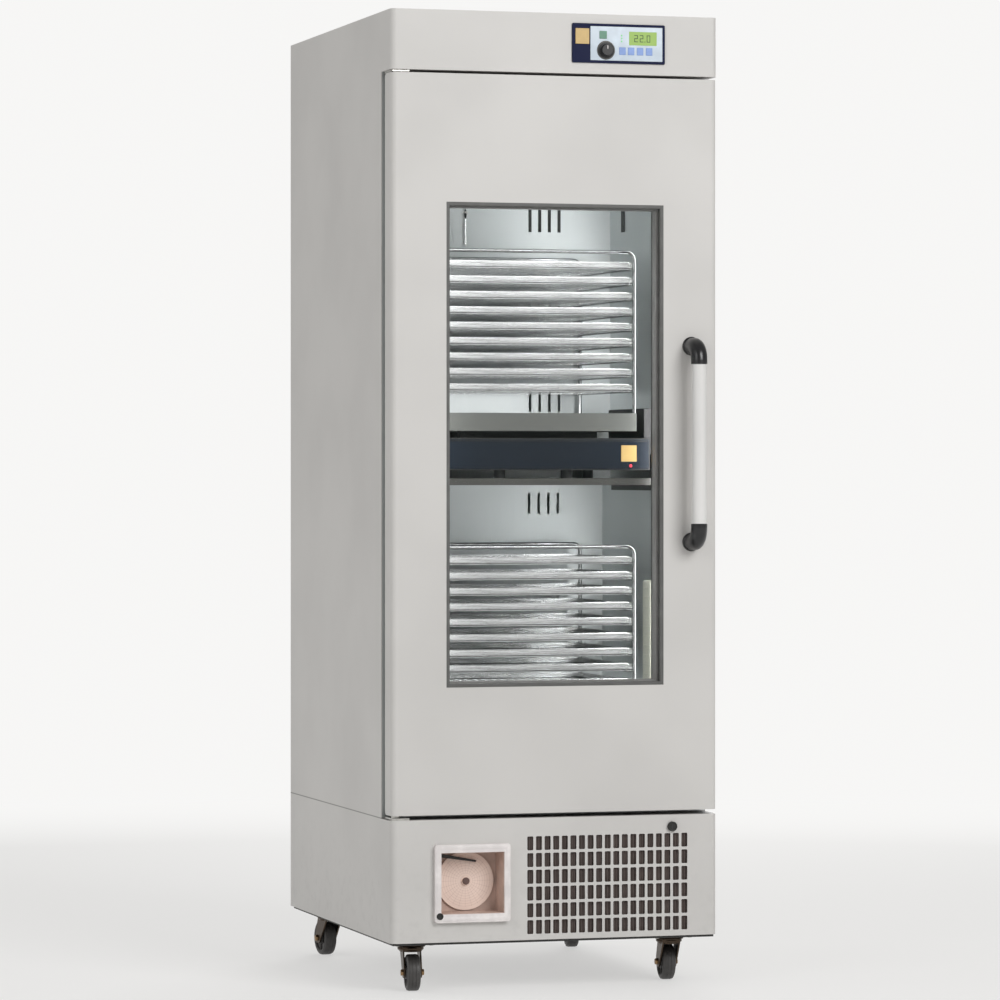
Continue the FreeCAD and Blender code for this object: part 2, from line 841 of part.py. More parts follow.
# The two agitators share their shapes; each stands on its own floor.
agitator_front = front + cells["base_front_depth"]
agitator_back = front + cells["agitator_end"]
agitator_middle = (agitator_front + agitator_back) / 2
base_deck = cells["base_deck"]
platform_low = cells["platform_low"]
platform_top = cells["platform_top"]
rack_top = cells["rack_top"]
half_rack = cells["rack_width"] / 2
half_base = cells["base_width"] / 2
AGITATOR_FLOORS = {"lower": cells["chamber_floor"], "upper": cells["shelf_top"]}


def raised(solid, floor, name="raised"):
    """A copy of a master solid, lifted to an agitator's floor."""
    copy = group([solid], name)
    bind(copy, "Placement.Base.z", floor)
    return copy


def agitator_bases():
    half = half_base
    foot = cells["foot_height"]
    housing = block((-half, half), (agitator_front, agitator_back), (foot, base_deck))
    hollow = block(
        (wall - half, half - wall), (agitator_front + wall, agitator_back - wall),
        (foot - overrun, base_deck - wall),
    )
    shaft_hole = rod(
        "Z", (size_of(0), agitator_middle, base_deck - wall - overrun),
        cells["shaft_radius"] + cells["shaft_hole_gap"], wall + overrun * 2,
    )
    hollowed = cut(housing, [fuse([hollow, shaft_hole])])
    parts = [hollowed]
    feet = [
        (-cells["front_foot_place"], agitator_front + cells["foot_edge"]),
        (cells["front_foot_place"], agitator_front + cells["foot_edge"]),
        (-cells["rear_foot_place"], agitator_back - cells["foot_edge"]),
        (cells["rear_foot_place"], agitator_back - cells["foot_edge"]),
    ]
    for x, y in feet:
        parts.append(rod("Z", (x, y, size_of(0)), cells["foot_radius"], base_deck - wall))
    for y in (agitator_front + cells["rail_edge"], agitator_back - cells["rail_edge"]):
        parts.append(block(
            (-cells["rail_length"] / 2, cells["rail_length"] / 2),
            (y - cells["rail_width"] / 2, y + cells["rail_width"] / 2),
            (base_deck, platform_low - cells["slide_gap"]),
        ))
    stop_run = (front + cells["stop_front"], front + cells["stop_back"])
    parts.append(block(
        (cells["stop_place"], cells["stop_outer"]), stop_run, (base_deck, base_deck + cells["stop_height"])
    ))
    parts.append(block((half, cells["stop_outer"]), stop_run, (base_deck - cells["stop_drop"], base_deck)))
    master = fuse(parts, "agitator_base_master")
    keep("agitator_bases", group([raised(master, floor) for floor in AGITATOR_FLOORS.values()]))


def agitator_motors():
    """A gear head under the deck with its motor can behind, bored for the crank's shaft."""
    half = cells["motor_width"] / 2
    deck = base_deck - wall
    head = block(
        (-half, half),
        (agitator_middle - half, agitator_middle - half + cells["motor_depth"]),
        (deck - cells["motor_height"], deck),
    )
    can = rod(
        "Y", (size_of(0), agitator_middle - half + cells["motor_depth"], deck - cells["motor_height"] / 2),
        cells["motor_can_radius"], cells["motor_can_length"],
    )
    bore = rod(
        "Z", (size_of(0), agitator_middle, base_deck - cells["shaft_reach"]),
        cells["shaft_radius"] + running, cells["shaft_reach"],
    )
    master = cut(fuse([head, can]), [bore], "motor_master")
    keep("agitator_motors", group([raised(master, floor) for floor in AGITATOR_FLOORS.values()]))


def cranks():
    low = base_deck + cells["crank_lift"]
    high = low + cells["crank_thickness"]
    shaft_low = base_deck - cells["shaft_reach"] + cells["slide_gap"]
    disc = rod("Z", (size_of(0), agitator_middle, low), cells["crank_radius"], cells["crank_thickness"])
    shaft = rod("Z", (size_of(0), agitator_middle, shaft_low), cells["shaft_radius"], low - shaft_low)
    pin = rod(
        "Z", (size_of(0), agitator_middle - cells["stroke_half"], high),
        cells["crank_pin_radius"], cells["crank_pin_length"],
    )
    master = fuse([disc, shaft, pin], "crank_master")
    for name, floor in AGITATOR_FLOORS.items():
        keep(f"crank_{name}", raised(master, floor))


def arch(y):
    """A rod bent up, across and down again, square to Y."""
    radius = cells["arch_radius"]
    bend = cells["arch_bend"]
    side = half_rack - radius
    crown = rack_top - radius
    low = platform_top - wall
    parts = [rod("X", (bend - side, y, crown), radius, (side - bend) * 2)]
    upright = FreeCAD.Rotation(FreeCAD.Vector(1, 0, 0), 90)
    turned = FreeCAD.Rotation(FreeCAD.Vector(0, 0, 1), 180) * upright
    for x, turn in ((side, upright), (-side, turned)):
        centre_x = side - bend if x.value > 0 else bend - side
        parts.append(rod("Z", (x, y, low), radius, crown - bend - low))
        parts.append(quarter_bend((centre_x, y, crown - bend), turn, bend, radius))
    return parts


def runner_top(level):
    return platform_top + cells["tray_first"] + cells["tray_pitch"] * level - cells["slide_gap"]


# Reciprocating rack: a platform with skirts, two arches and a pair of runners for each tray.
def racks():
    radius = cells["arch_radius"]
    skirt = block((-half_rack, half_rack), (agitator_front, agitator_back), (platform_low, platform_top))
    hollow = block(
        (wall - half_rack, half_rack - wall),
        (agitator_front + wall, agitator_back - wall),
        (platform_low - overrun, platform_top - wall),
    )
    parts = [cut(skirt, [hollow])]
    for y in (agitator_front + cells["rail_edge"], agitator_back - cells["rail_edge"]):
        parts.append(block(
            (-cells["rail_length"] / 2, cells["rail_length"] / 2),
            (y - cells["rail_width"] / 2, y + cells["rail_width"] / 2),
            (platform_low, platform_top - wall),
        ))
    half_slot = cells["crank_pin_radius"] + cells["yoke_clearance"]
    slot_run = (agitator_middle - cells["stroke_half"] - half_slot, agitator_middle + half_slot)
    yoke_wall = cells["yoke_wall"]
    yoke = block(
        (-half_slot - yoke_wall, half_slot + yoke_wall),
        (slot_run[0] - yoke_wall, slot_run[1] + yoke_wall),
        (platform_top - wall - cells["yoke_height"], platform_top - wall),
    )
    slot = block(
        (-half_slot, half_slot), slot_run,
        (platform_top - wall - cells["yoke_height"] - overrun, platform_top - wall - cells["yoke_wall"]),
    )
    parts.append(cut(yoke, [slot]))
    front_arch = agitator_front + radius
    back_arch = agitator_back - radius
    parts += arch(front_arch)
    parts += arch(back_arch)
    inner = half_rack - radius * 2
    for level in range(TRAY_COUNT):
        high = runner_top(level)
        for side in (-1, 1):
            across = sorted_pair((inner - cells["runner_width"]) * side, (inner + radius) * side)
            parts.append(block(across, (front_arch, back_arch), (high - cells["runner_wall"], high)))
    master = fuse(parts, "rack_master")
    for name, floor in AGITATOR_FLOORS.items():
        keep(f"rack_{name}", raised(master, floor))


# Pull-out tray: a shallow slotted pan with a rim rod along its front.
def trays():
    half = half_rack - cells["arch_radius"] * 2 - cells["tray_gap"]
    sheet_wall = cells["tray_wall"]
    lip = cells["tray_lip"]
    run = (agitator_front + cells["arch_radius"], agitator_back - cells["arch_radius"] * 2)
    pan = block((-half, half), run, (size_of(0), lip))
    tools = [block(
        (sheet_wall - half, half - sheet_wall), (run[0] + sheet_wall, run[1] - sheet_wall),
        (sheet_wall, lip + overrun),
    )]
    column_pitch = (half * 2 - cells["runner_width"] * 2) / cells["tray_slot_columns"]
    for number in range(int(DRIVING["tray_slot_columns"])):
        middle = cells["runner_width"] - half + column_pitch / 2 + column_pitch * number
        for row_middle in ((run[0] * 3 + run[1]) / 4, (run[0] + run[1] * 3) / 4):
            tools.append(block(
                (middle - cells["tray_slot_width"] / 2, middle + cells["tray_slot_width"] / 2),
                (row_middle - cells["tray_slot_length"] / 2, row_middle + cells["tray_slot_length"] / 2),
                (-overrun, sheet_wall),
            ))
    rim = rod("X", (-half, run[0] + cells["tray_rim_radius"], lip), cells["tray_rim_radius"], half * 2)
    master = fuse([cut(pan, tools), rim], "tray_master")
    for name, floor in AGITATOR_FLOORS.items():
        for level in range(TRAY_COUNT):
            height = floor + runner_top(level) + cells["slide_gap"]
            keep(f"tray_{name}_{level + 1}", raised(master, height))


# Header front: a folded cover with the control panel let into it.
bezel_border = cells["bezel_border"]
bezel_box_x = (cells["bezel_left"] + bezel_border, cells["bezel_right"] - bezel_border)
bezel_box_z = (cells["bezel_low"] + bezel_border, cells["bezel_high"] - bezel_border)


def header_cover():
    run = (front, front + cells["header_depth"])
    outer = rounded_front_block(
        "header_outer", (-half_width, half_width), run, (header_bottom, top), cells["corner_radius"]
    )
    inner = rounded_front_block(
        "header_inner", (wall - half_width, half_width - wall), (front + wall, run[1] + overrun),
        (header_bottom + wall, top - wall), cells["corner_radius"] - wall,
    )
    opening = block(bezel_box_x, (front - overrun, front + wall + overrun), bezel_box_z)
    keep("header_cover", cut(outer, [fuse([inner, opening])]))


def control_panel():
    face = prism(
        "bezel_face", "Y", (front - cells["bezel_thickness"], front),
        [rectangle(
            (cells["bezel_left"], cells["bezel_right"]), (cells["bezel_low"], cells["bezel_high"]),
            cells["bezel_round"],
        )],
    )
    box = block(bezel_box_x, (front, front + cells["bezel_box_depth"]), bezel_box_z)
    face_front = front - cells["bezel_thickness"]
    bore = rod(
        "Y", (cells["knob_place"], face_front, cells["knob_height"]),
        cells["knob_shaft_radius"] + running, cells["knob_shaft_length"],
    )
    keep("control_bezel", cut(fuse([face, box]), [bore]))
    knob_back = face_front - cells["slide_gap"]
    grip = rod(
        "Y", (cells["knob_place"], knob_back - cells["knob_length"], cells["knob_height"]),
        cells["knob_radius"], cells["knob_length"],
    )
    shaft = rod(
        "Y", (cells["knob_place"], knob_back, cells["knob_height"]),
        cells["knob_shaft_radius"], cells["knob_shaft_length"] - cells["slide_gap"],
    )
    keep("control_knob", fuse([grip, shaft]))


def base_tub():
    run = (front + cells["base_front_fold"], back)
    shell = block((-half_width, half_width), run, (base_bottom, base_top))
    hollow = block(
        (wall - half_width, half_width - wall), (run[0] - overrun, back - wall),
        (base_bottom + wall, base_top - wall),
    )
    keep("base_tub", cut(shell, [hollow]))


# Base front: folded cover with the slotted grille, the recorder's opening and the lock's hole.
recorder_x = (-cells["recorder_left"], -cells["recorder_right"])
recorder_z = (cells["recorder_low"], cells["recorder_high"])
cavity_x = (recorder_x[0] + cells["recorder_border"], recorder_x[1] - cells["recorder_border"])
cavity_z = (recorder_z[0] + cells["recorder_border_low"], recorder_z[1] - cells["recorder_border_low"])
recorder_wall = cells["recorder_wall"]
housing_x = (cavity_x[0] - recorder_wall, cavity_x[1] + recorder_wall)
housing_z = (cavity_z[0] - recorder_wall, cavity_z[1] + recorder_wall)


def grille_slots():
    """The slot at the grille's lower left corner, repeated in columns and rows."""
    width = cells["grille_slot_width"]
    height = cells["grille_slot_height"]
    left = -cells["grille_left"]
    low = cells["grille_low"]
    slot = prism(
        "grille_slot", "Y", (front - overrun, front + wall + overrun),
        [rectangle((left, left + width), (low, low + height), cells["grille_slot_round"])],
    )
    column_pitch = (cells["grille_right"] - left - width) / (cells["grille_columns"] - 1)
    row_pitch = (cells["grille_high"] - low - height) / (cells["grille_rows"] - 1)
    return [
        place(group([slot]), column_pitch * column, size_of(0), row_pitch * row)
        for column in range(int(DRIVING["grille_columns"]))
        for row in range(int(DRIVING["grille_rows"]))
    ]


def base_front():
    run = (front, front + cells["base_front_fold"])
    outer = rounded_front_block(
        "base_front_outer", (-half_width, half_width), run,
        (base_bottom, base_top), cells["base_front_radius"],
    )
    inner = rounded_front_block(
        "base_front_inner", (wall - half_width, half_width - wall), (front + wall, run[1] + overrun),
        (base_bottom + wall, base_top - wall), cells["base_front_radius"] - wall,
    )
    recorder_hole = block(housing_x, (front - overrun, front + wall * 2), housing_z)
    lock_hole = rod(
        "Y", (cells["lock_place"], front - overrun, cells["lock_height"]),
        cells["lock_barrel_radius"] + running, wall + overrun * 2,
    )
    folded = cut(outer, [fuse([inner, recorder_hole, lock_hole])])
    keep("base_front", cut(folded, grille_slots()))


def panel_lock():
    x = cells["lock_place"]
    z = cells["lock_height"]
    head_back = front - cells["slide_gap"]
    head = rod(
        "Y", (x, head_back - cells["lock_head_length"], z),
        cells["lock_head_radius"], cells["lock_head_length"],
    )
    barrel = rod("Y", (x, head_back, z), cells["lock_barrel_radius"], cells["lock_barrel_length"])
    cam_front = head_back + cells["lock_barrel_length"]
    cam_half = cells["lock_cam_width"] / 2
    cam = block(
        (x - cam_half, x + cam_half), (cam_front, cam_front + cells["lock_cam_wall"]),
        (z - cells["lock_cam_length"], z + cam_half),
    )
    keep("panel_lock", fuse([head, barrel, cam]))


# Chart recorder: housing with a raised frame, chart on its hub, and a pen arm on a post.
chart_x = (cavity_x[0] + cavity_x[1]) / 2
chart_z = (cavity_z[0] + cavity_z[1]) / 2
recorder_floor = front + cells["recorder_back"]
pen_x = cavity_x[0] + cells["pen_post_place"]
pen_z = cavity_z[1] - cells["pen_post_drop"]


def recorder_case():
    proud = front - cells["recorder_proud"]
    outline = rectangle(recorder_x, recorder_z, cells["recorder_round"])
    frame = prism("recorder_frame", "Y", (proud, front), [outline])
    housing = block(housing_x, (front, front + cells["recorder_depth"]), housing_z)
    cavity = block(cavity_x, (proud - overrun, recorder_floor), cavity_z)
    key_x = recorder_x[0] + cells["recorder_border"] - cells["recorder_key_radius"] / 2
    key_z = recorder_z[0] + cells["recorder_border_low"] - cells["recorder_key_radius"] / 2
    key = rod(
        "Y", (key_x, proud - cells["recorder_key_proud"], key_z), cells["recorder_key_radius"],
        cells["recorder_key_proud"],
    )
    shaft = rod(
        "Y", (chart_x, recorder_floor - cells["chart_shaft_length"], chart_z),
        cells["chart_shaft_radius"], cells["chart_shaft_length"],
    )
    post = rod(
        "Y", (pen_x, recorder_floor - cells["pen_post_length"], pen_z),
        cells["pen_post_radius"], cells["pen_post_length"],
    )
    keep("recorder_case", fuse([cut(fuse([frame, housing]), [cavity]), key, shaft, post]))


def chart_disc():
    radius = cells["chart_hub_radius"]
    back_face = recorder_floor - cells["chart_lift"]
    front_face = back_face - cells["chart_wall"]
    hub_front = front_face - cells["chart_hub_length"]
    disc = rod("Y", (chart_x, front_face, chart_z), cells["chart_radius"], cells["chart_wall"])
    hub = rod("Y", (chart_x, hub_front, chart_z), radius, cells["chart_hub_length"])
    collar = rod("Y", (chart_x, back_face, chart_z), radius, cells["chart_lift"] - cells["slide_gap"])
    bore = rod(
        "Y", (chart_x, recorder_floor - cells["chart_shaft_length"] - cells["slide_gap"], chart_z),
        cells["chart_shaft_radius"] + running, cells["chart_shaft_length"] + cells["slide_gap"],
    )
    keep("chart_disc", cut(fuse([disc, hub, collar]), [bore]))


def pen_arm():
    """A slim arm from its boss on the post to its rounded tip."""
    level = recorder_floor - cells["pen_lift"] - cells["pen_wall"]
    boss = cells["pen_boss_radius"]
    tip = cells["pen_tip_radius"]
    tip_x = pen_x + cells["pen_reach"]
    tip_z = pen_z - cells["pen_drop"]
    blade = prism(
        "pen_blade", "Y", (level, level + cells["pen_wall"]),
        [[
            (pen_x, pen_z - boss * PEN_ROOT_SHARE),
            (tip_x + tip, tip_z - tip, tip * PEN_ROUNDING_SHARE),
            (tip_x + tip, tip_z + tip, tip * PEN_ROUNDING_SHARE),
            (pen_x, pen_z + boss * PEN_ROOT_SHARE),
        ]],
    )
    round_boss = rod("Y", (pen_x, level, pen_z), boss, cells["pen_wall"])
    bore = rod(
        "Y", (pen_x, level - overrun, pen_z),
        cells["pen_post_radius"] + running, cells["pen_wall"] + overrun * 2,
    )
    keep("pen_arm", cut(fuse([blade, round_boss]), [bore]))


# Door: painted shell, lining with insulation, window frame, two panes and a gasket.
half_door = half_width - cells["door_side_gap"]
half_window = cells["window_width"] / 2
window_z = (cells["window_bottom"], cells["window_top"])


def door_openings():
    """The window's hole and the two bores for the hinge pins."""
    window = block((-half_window, half_window), (front - overrun, lining_back + overrun), window_z)
    radius = cells["pin_radius"] + running
    depth = cells["pin_reach"] + cells["hinge_plate"]
    low_bore = rod("Z", (hinge_x, hinge_y, door_bottom - overrun), radius, depth + overrun)
    high_bore = rod("Z", (hinge_x, hinge_y, door_top - depth), radius, depth + overrun)
    return [window, low_bore, high_bore]


def door_panels():
    skin = cells["door_wall"]
    inset = cells["door_lining_inset"]
    outer = rounded_front_block(
        "door_outer", (-half_door, half_door), (front, lining_front),
        (door_bottom, door_top), cells["corner_radius"],
    )
    inner = rounded_front_block(
        "door_inner", (skin - half_door, half_door - skin), (front + skin, lining_front + overrun),
        (door_bottom + skin, door_top - skin), cells["corner_radius"] - skin,
    )
    keep("door_shell", cut(cut(outer, [inner]), door_openings()))
    core = rounded_front_block(
        "door_core", (skin - half_door, half_door - skin), (front + skin, lining_front),
        (door_bottom + skin, door_top - skin), cells["corner_radius"] - skin,
    )
    cover = block(
        (inset - half_door, half_door - inset), (lining_front, lining_back),
        (door_bottom + inset, door_top - inset),
    )
    keep("door_lining", cut(fuse([core, cover]), door_openings()))


def window():
    lip = cells["window_lip"]
    hold = cells["pane_hold"]
    thick = cells["pane_thickness"]
    frame = block(
        (-half_window, half_window), (front + cells["window_set_back"], lining_back), window_z
    )
    opening = block(
        (lip - half_window, half_window - lip), (front - overrun, lining_back + overrun),
        (window_z[0] + lip, window_z[1] - lip),
    )
    first = front + cells["pane_recess"]
    second = first + thick + cells["pane_spacing"]
    panes = []
    for level in (first, second):
        panes.append(block(
            (lip - hold - half_window, half_window - lip + hold), (level, level + thick),
            (window_z[0] + lip - hold, window_z[1] - lip + hold),
        ))
    keep("window_frame", cut(cut(frame, [opening]), panes))
    keep("window_glass", group(panes))


def door_gasket():
    inset = cells["gasket_inset"]
    width = cells["gasket_width"]
    inner_x = half_door - inset - width
    outer_x = half_door - inset
    outer = rectangle((-outer_x, outer_x), (door_bottom + inset, door_top - inset), width / 2)
    inner = rectangle((-inner_x, inner_x), (door_bottom + inset + width, door_top - inset - width))
    run = (lining_back, lining_back + cells["gasket_depth"])
    keep("door_gasket", prism("gasket", "Y", run, [outer, inner]))


def handle():
    """Two elbows on the door and the straight tube between them."""
    x = cells["handle_place"]
    radius = cells["elbow_radius"]
    bend = cells["elbow_bend"]
    axis_y = front - cells["handle_standoff"]
    collar = cells["elbow_collar"]
    low = cells["handle_low"] + bend + collar
    high = cells["handle_high"] - bend - collar
    hold = cells["grip_hold"]
    bar = rod("Z", (x, axis_y, low - hold), cells["grip_radius"], high - low + hold * 2)
    socket = rod("Z", (x, axis_y, low - hold), cells["grip_radius"], high - low + hold * 2)
    bore = rod(
        "Z", (x, axis_y, low - hold - overrun), cells["grip_radius"] - cells["grip_wall"],
        high - low + (hold + overrun) * 2,
    )
    keep("handle_bar", cut(bar, [bore]))
    elbows = []
    to_left = FreeCAD.Vector(-1, 0, 0)
    to_front = FreeCAD.Vector(0, -1, 0)
    down = FreeCAD.Rotation(FreeCAD.Vector(0, 0, -1), to_front, to_left, "XYZ")
    up = FreeCAD.Rotation(to_front, FreeCAD.Vector(0, 0, 1), to_left, "XYZ")
    for foot_z, side, turn in ((cells["handle_low"], 1, down), (cells["handle_high"], -1, up)):
        stem = rod("Y", (x, axis_y + bend, foot_z), radius, cells["handle_standoff"] - bend)
        corner = quarter_bend((x, axis_y + bend, foot_z + bend * side), turn, bend, radius)
        collar_low = foot_z + bend if side > 0 else foot_z - bend - collar
        cuff = rod("Z", (x, axis_y, collar_low), radius, collar)
        elbows.append(cut(fuse([stem, corner, cuff]), [socket]))
    keep("handle_elbows", group(elbows))


# Hinge brackets: flat plates in the gaps over and under the door, each with its pin.
def hinge_brackets():
    plate = cells["hinge_plate"]
    half = cells["hinge_plate_width"] / 2
    across = (hinge_x - cells["hinge_inset"] + cells["pin_radius"], hinge_x + half)
    run = (front + cells["hinge_plate_front"], front + cells["hinge_plate_back"])
    low = block(across, run, (base_top, base_top + plate))
    washer = rod(
        "Z", (hinge_x, hinge_y, base_top + plate), cells["washer_radius"],
        cells["base_gap"] - plate - cells["slide_gap"],
    )
    low_pin = rod(
        "Z", (hinge_x, hinge_y, base_top), cells["pin_radius"], cells["base_gap"] + cells["pin_reach"]
    )
    high = block(across, run, (header_bottom - plate, header_bottom))
    high_pin = rod(
        "Z", (hinge_x, hinge_y, door_top - cells["pin_reach"]), cells["pin_radius"],
        cells["header_gap"] + cells["pin_reach"],
    )
    keep("hinge_brackets", group([fuse([low, washer, low_pin]), fuse([high, high_pin])]))


# Condensing unit: compressor, condenser coil, and a fan shroud with its motor, on the tub's floor.
tub_floor = base_bottom + wall
warm_fan_x = (cells["condenser_right"] - cells["condenser_left"]) / 2
warm_fan_z = (tub_floor + cells["condenser_high"]) / 2


def compressor():
    x = -cells["compressor_left"]
    y = front + cells["compressor_setback"]
    foot_half = cells["compressor_foot"] / 2
    foot_high = tub_floor + cells["compressor_foot_height"]
    foot = block((x - foot_half, x + foot_half), (y - foot_half, y + foot_half), (tub_floor, foot_high))
    radius = cells["compressor_radius"]
    wall_high = foot_high + cells["compressor_wall_height"]
    dome_high = wall_high + cells["compressor_dome"] / 2
    can = spin("compressor_can", [
        (size_of(0), foot_high),
        (radius, foot_high),
        (radius, wall_high, cells["compressor_dome"]),
        (radius / 2, dome_high),
        (size_of(0), dome_high),
    ])
    return fuse([foot, place(group([can]), x, y, size_of(0))])


def condensing_unit():
    left = -cells["condenser_left"]
    right = cells["condenser_right"]
    coil_y = (front + cells["condenser_front"], front + cells["condenser_front"] + cells["condenser_depth"])
    coil_z = (tub_floor, cells["condenser_high"])
    coil = finned_coil((left, right), coil_y, coil_z, cells["fin_tube_pitch"] / 2)
    shroud_wall = cells["shroud_wall"]
    shroud_y = (coil_y[1], coil_y[1] + cells["shroud_depth"])
    shroud = block((left, right), shroud_y, coil_z)
    inside = block(
        (left + shroud_wall, right - shroud_wall), (shroud_y[0] - overrun, shroud_y[1] - shroud_wall),
        (tub_floor + shroud_wall, cells["condenser_high"] - shroud_wall),
    )
    hole = rod(
        "Y", (warm_fan_x, shroud_y[1] - shroud_wall - overrun, warm_fan_z),
        cells["warm_fan_radius"] + cells["fan_blade_wall"] * 2, shroud_wall + overrun * 2,
    )
    ring = cut(cut(shroud, [inside]), [hole])
    motor_front = front + cells["shroud_set_back"] + cells["fan_shaft_length"]
    strap_half = cells["motor_strap"] / 2
    strap_y = (shroud_y[1], shroud_y[1] + shroud_wall)
    strap = block(
        (warm_fan_x - strap_half, warm_fan_x + strap_half), strap_y, (tub_floor, cells["condenser_high"])
    )
    motor = rod(
        "Y", (warm_fan_x, motor_front, warm_fan_z),
        cells["warm_fan_motor_radius"], cells["warm_fan_motor_length"],
    )
    shaft = rod(
        "Y", (warm_fan_x, motor_front - cells["fan_shaft_length"], warm_fan_z),
        cells["fan_shaft_radius"], cells["fan_shaft_length"],
    )
    keep("condensing_unit", group([compressor(), coil, fuse([ring, strap, motor, shaft])]))
    fan_rotor(
        "condenser_fan", warm_fan_x, motor_front - cells["fan_shaft_length"], warm_fan_z,
        cells["warm_fan_radius"],
    )


# Chassis rails in one frame, with a plate welded under it at each corner for the caster's stem.
chassis_low = base_bottom - cells["chassis_thickness"]
plate_low = chassis_low - cells["plate_thickness"]
CASTER_SIDES = {
    "front_left": (-1, "front"),
    "front_right": (1, "front"),
    "back_left": (-1, "back"),
    "back_right": (1, "back"),
}


def caster_centre(name):
    side, end = CASTER_SIDES[name]
    y = front + cells["caster_edge_front"] if end == "front" else back - cells["caster_edge_back"]
    return cells["caster_place"] * side, y


def chassis_rails():
    inset = cells["chassis_inset"]
    bar = cells["chassis_bar"]
    outer_x = half_width - inset
    frame = block((-outer_x, outer_x), (front + inset, back - inset), (chassis_low, base_bottom))
    opening = block(
        (bar - outer_x, outer_x - bar), (front + inset + bar, back - inset - bar),
        (chassis_low - overrun, base_bottom + overrun),
    )
    parts = [cut(frame, [opening])]
    holes = []
    for name in CASTER_SIDES:
        x, y = caster_centre(name)
        half_x = cells["plate_width"] / 2
        half_y = cells["plate_depth"] / 2
        parts.append(block((x - half_x, x + half_x), (y - half_y, y + half_y), (plate_low, chassis_low)))
        holes.append(rod("Z", (x, y, plate_low - overrun), cells["stem_radius"] + running, overrun * 4))
    keep("chassis_rails", cut(fuse(parts), holes))


def caster_masters():
    """One fork trailing along +X from its stem, and one wheel about Z, both centred for their joints."""
    radius = cells["wheel_radius"]
    trail = cells["caster_trail"]
    half_wheel = cells["wheel_width"] / 2
    inner = half_wheel + cells["fork_gap"]
    outer = inner + cells["fork_wall"]
    head_high = plate_low - cells["slide_gap"]
    head_low = head_high - cells["fork_head_height"]
    crown_low = head_low - cells["fork_crown_height"]
    crown_half = cells["fork_crown_half"]
    foot = cells["fork_leg_foot"]
    leg = [
        (-crown_half, head_low),
        (-crown_half, crown_low),
        (trail - foot, radius - foot, foot * LEG_ROUNDING_SHARE),
        (trail + foot, radius - foot, foot * LEG_ROUNDING_SHARE),
        (trail + foot, radius + foot, foot),
        (crown_half, crown_low),
        (crown_half, head_low),
    ]
    parts = [
        rod("Z", (size_of(0), size_of(0), head_low), cells["fork_head_radius"], cells["fork_head_height"]),
        rod("Z", (size_of(0), size_of(0), head_high), cells["stem_radius"],
            cells["plate_thickness"] + cells["slide_gap"]),
        block((-crown_half, crown_half), (-outer, outer), (crown_low, head_low)),
        prism("leg", "Y", (-outer, -inner), [leg]),
        prism("leg", "Y", (inner, outer), [leg]),
        rod("Y", (trail, -outer, radius), cells["axle_radius"], outer * 2),
    ]
    fork = fuse(parts, "fork_master")
    hub = cells["wheel_hub_radius"]
    rim = cells["wheel_rim_radius"]
    dish = half_wheel - cells["wheel_dish"]
    bore = cells["axle_radius"] + running
    wheel = spin("wheel_master", [
        (bore, -half_wheel), (hub, -half_wheel), (hub, -dish), (rim, -dish), (rim, -half_wheel),
        (radius, -half_wheel, cells["wheel_round"]), (radius, half_wheel, cells["wheel_round"]),
        (rim, half_wheel), (rim, dish), (hub, dish), (hub, half_wheel), (bore, half_wheel),
    ])
    return fork, wheel


def casters():
    fork, wheel = caster_masters()
    for name, angle in CASTER_ANGLES.items():
        x, y = caster_centre(name)
        swing = FreeCAD.Rotation(FreeCAD.Vector(0, 0, 1), angle)
        turned_fork = group([fork])
        turned_fork.Placement = FreeCAD.Placement(FreeCAD.Vector(), swing)
        keep(f"caster_fork_{name}", place(turned_fork, x, y, size_of(0)))
        turned_wheel = group([wheel])
        on_edge = FreeCAD.Rotation(FreeCAD.Vector(1, 0, 0), 90)
        turned_wheel.Placement = FreeCAD.Placement(FreeCAD.Vector(), swing * on_edge)
        along_share = math.cos(math.radians(angle))
        across_share = math.sin(math.radians(angle))
        trail = cells["caster_trail"]
        keep(f"caster_wheel_{name}", place(
            turned_wheel, x + trail * along_share, y + trail * across_share, cells["wheel_radius"]
        ))


outer_case()
foam_insulation()
inner_liner()
duct_panel()
evaporator()
lamp_strip()
mid_shelf()
agitator_bases()
agitator_motors()
cranks()
racks()
trays()
header_cover()
control_panel()
base_tub()
base_front()
panel_lock()
recorder_case()
chart_disc()
pen_arm()
door_panels()
window()
door_gasket()
handle()
hinge_brackets()
condensing_unit()
chassis_rails()
casters()
document.recompute()

faults = [thing.Label for thing in document.Objects if {"Invalid", "Error"} & set(thing.State)]
for piece in pieces:
    shape = piece.Shape
    if shape.isNull() or not shape.isValid() or not shape.Solids:
        faults.append(piece.Label)
if faults:
    raise RuntimeError(f"these objects failed: {faults}")
os.makedirs("parts", exist_ok=True)
for piece in pieces:
    piece.Shape.exportStep(f"parts/{piece.Label}.step")
print(f"{len(pieces)} sub-parts written")
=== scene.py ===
# %% [markdown]
# A platelet agitator cabinet, dressed in Blender.
# The object is a tall cabinet on four casters. Behind its glazed door stand two flat-bed
# agitators, and each of them rocks a rack of nine steel trays from side to side.
# The solid model comes in as a fixed frame. This file adds finishes to its nodes, and builds
# the thin, bent and perforated pieces that make the real cabinet look made by hand and press.
# Everything is in metres, so a millimetre is written as a number times MM.

import json
import math

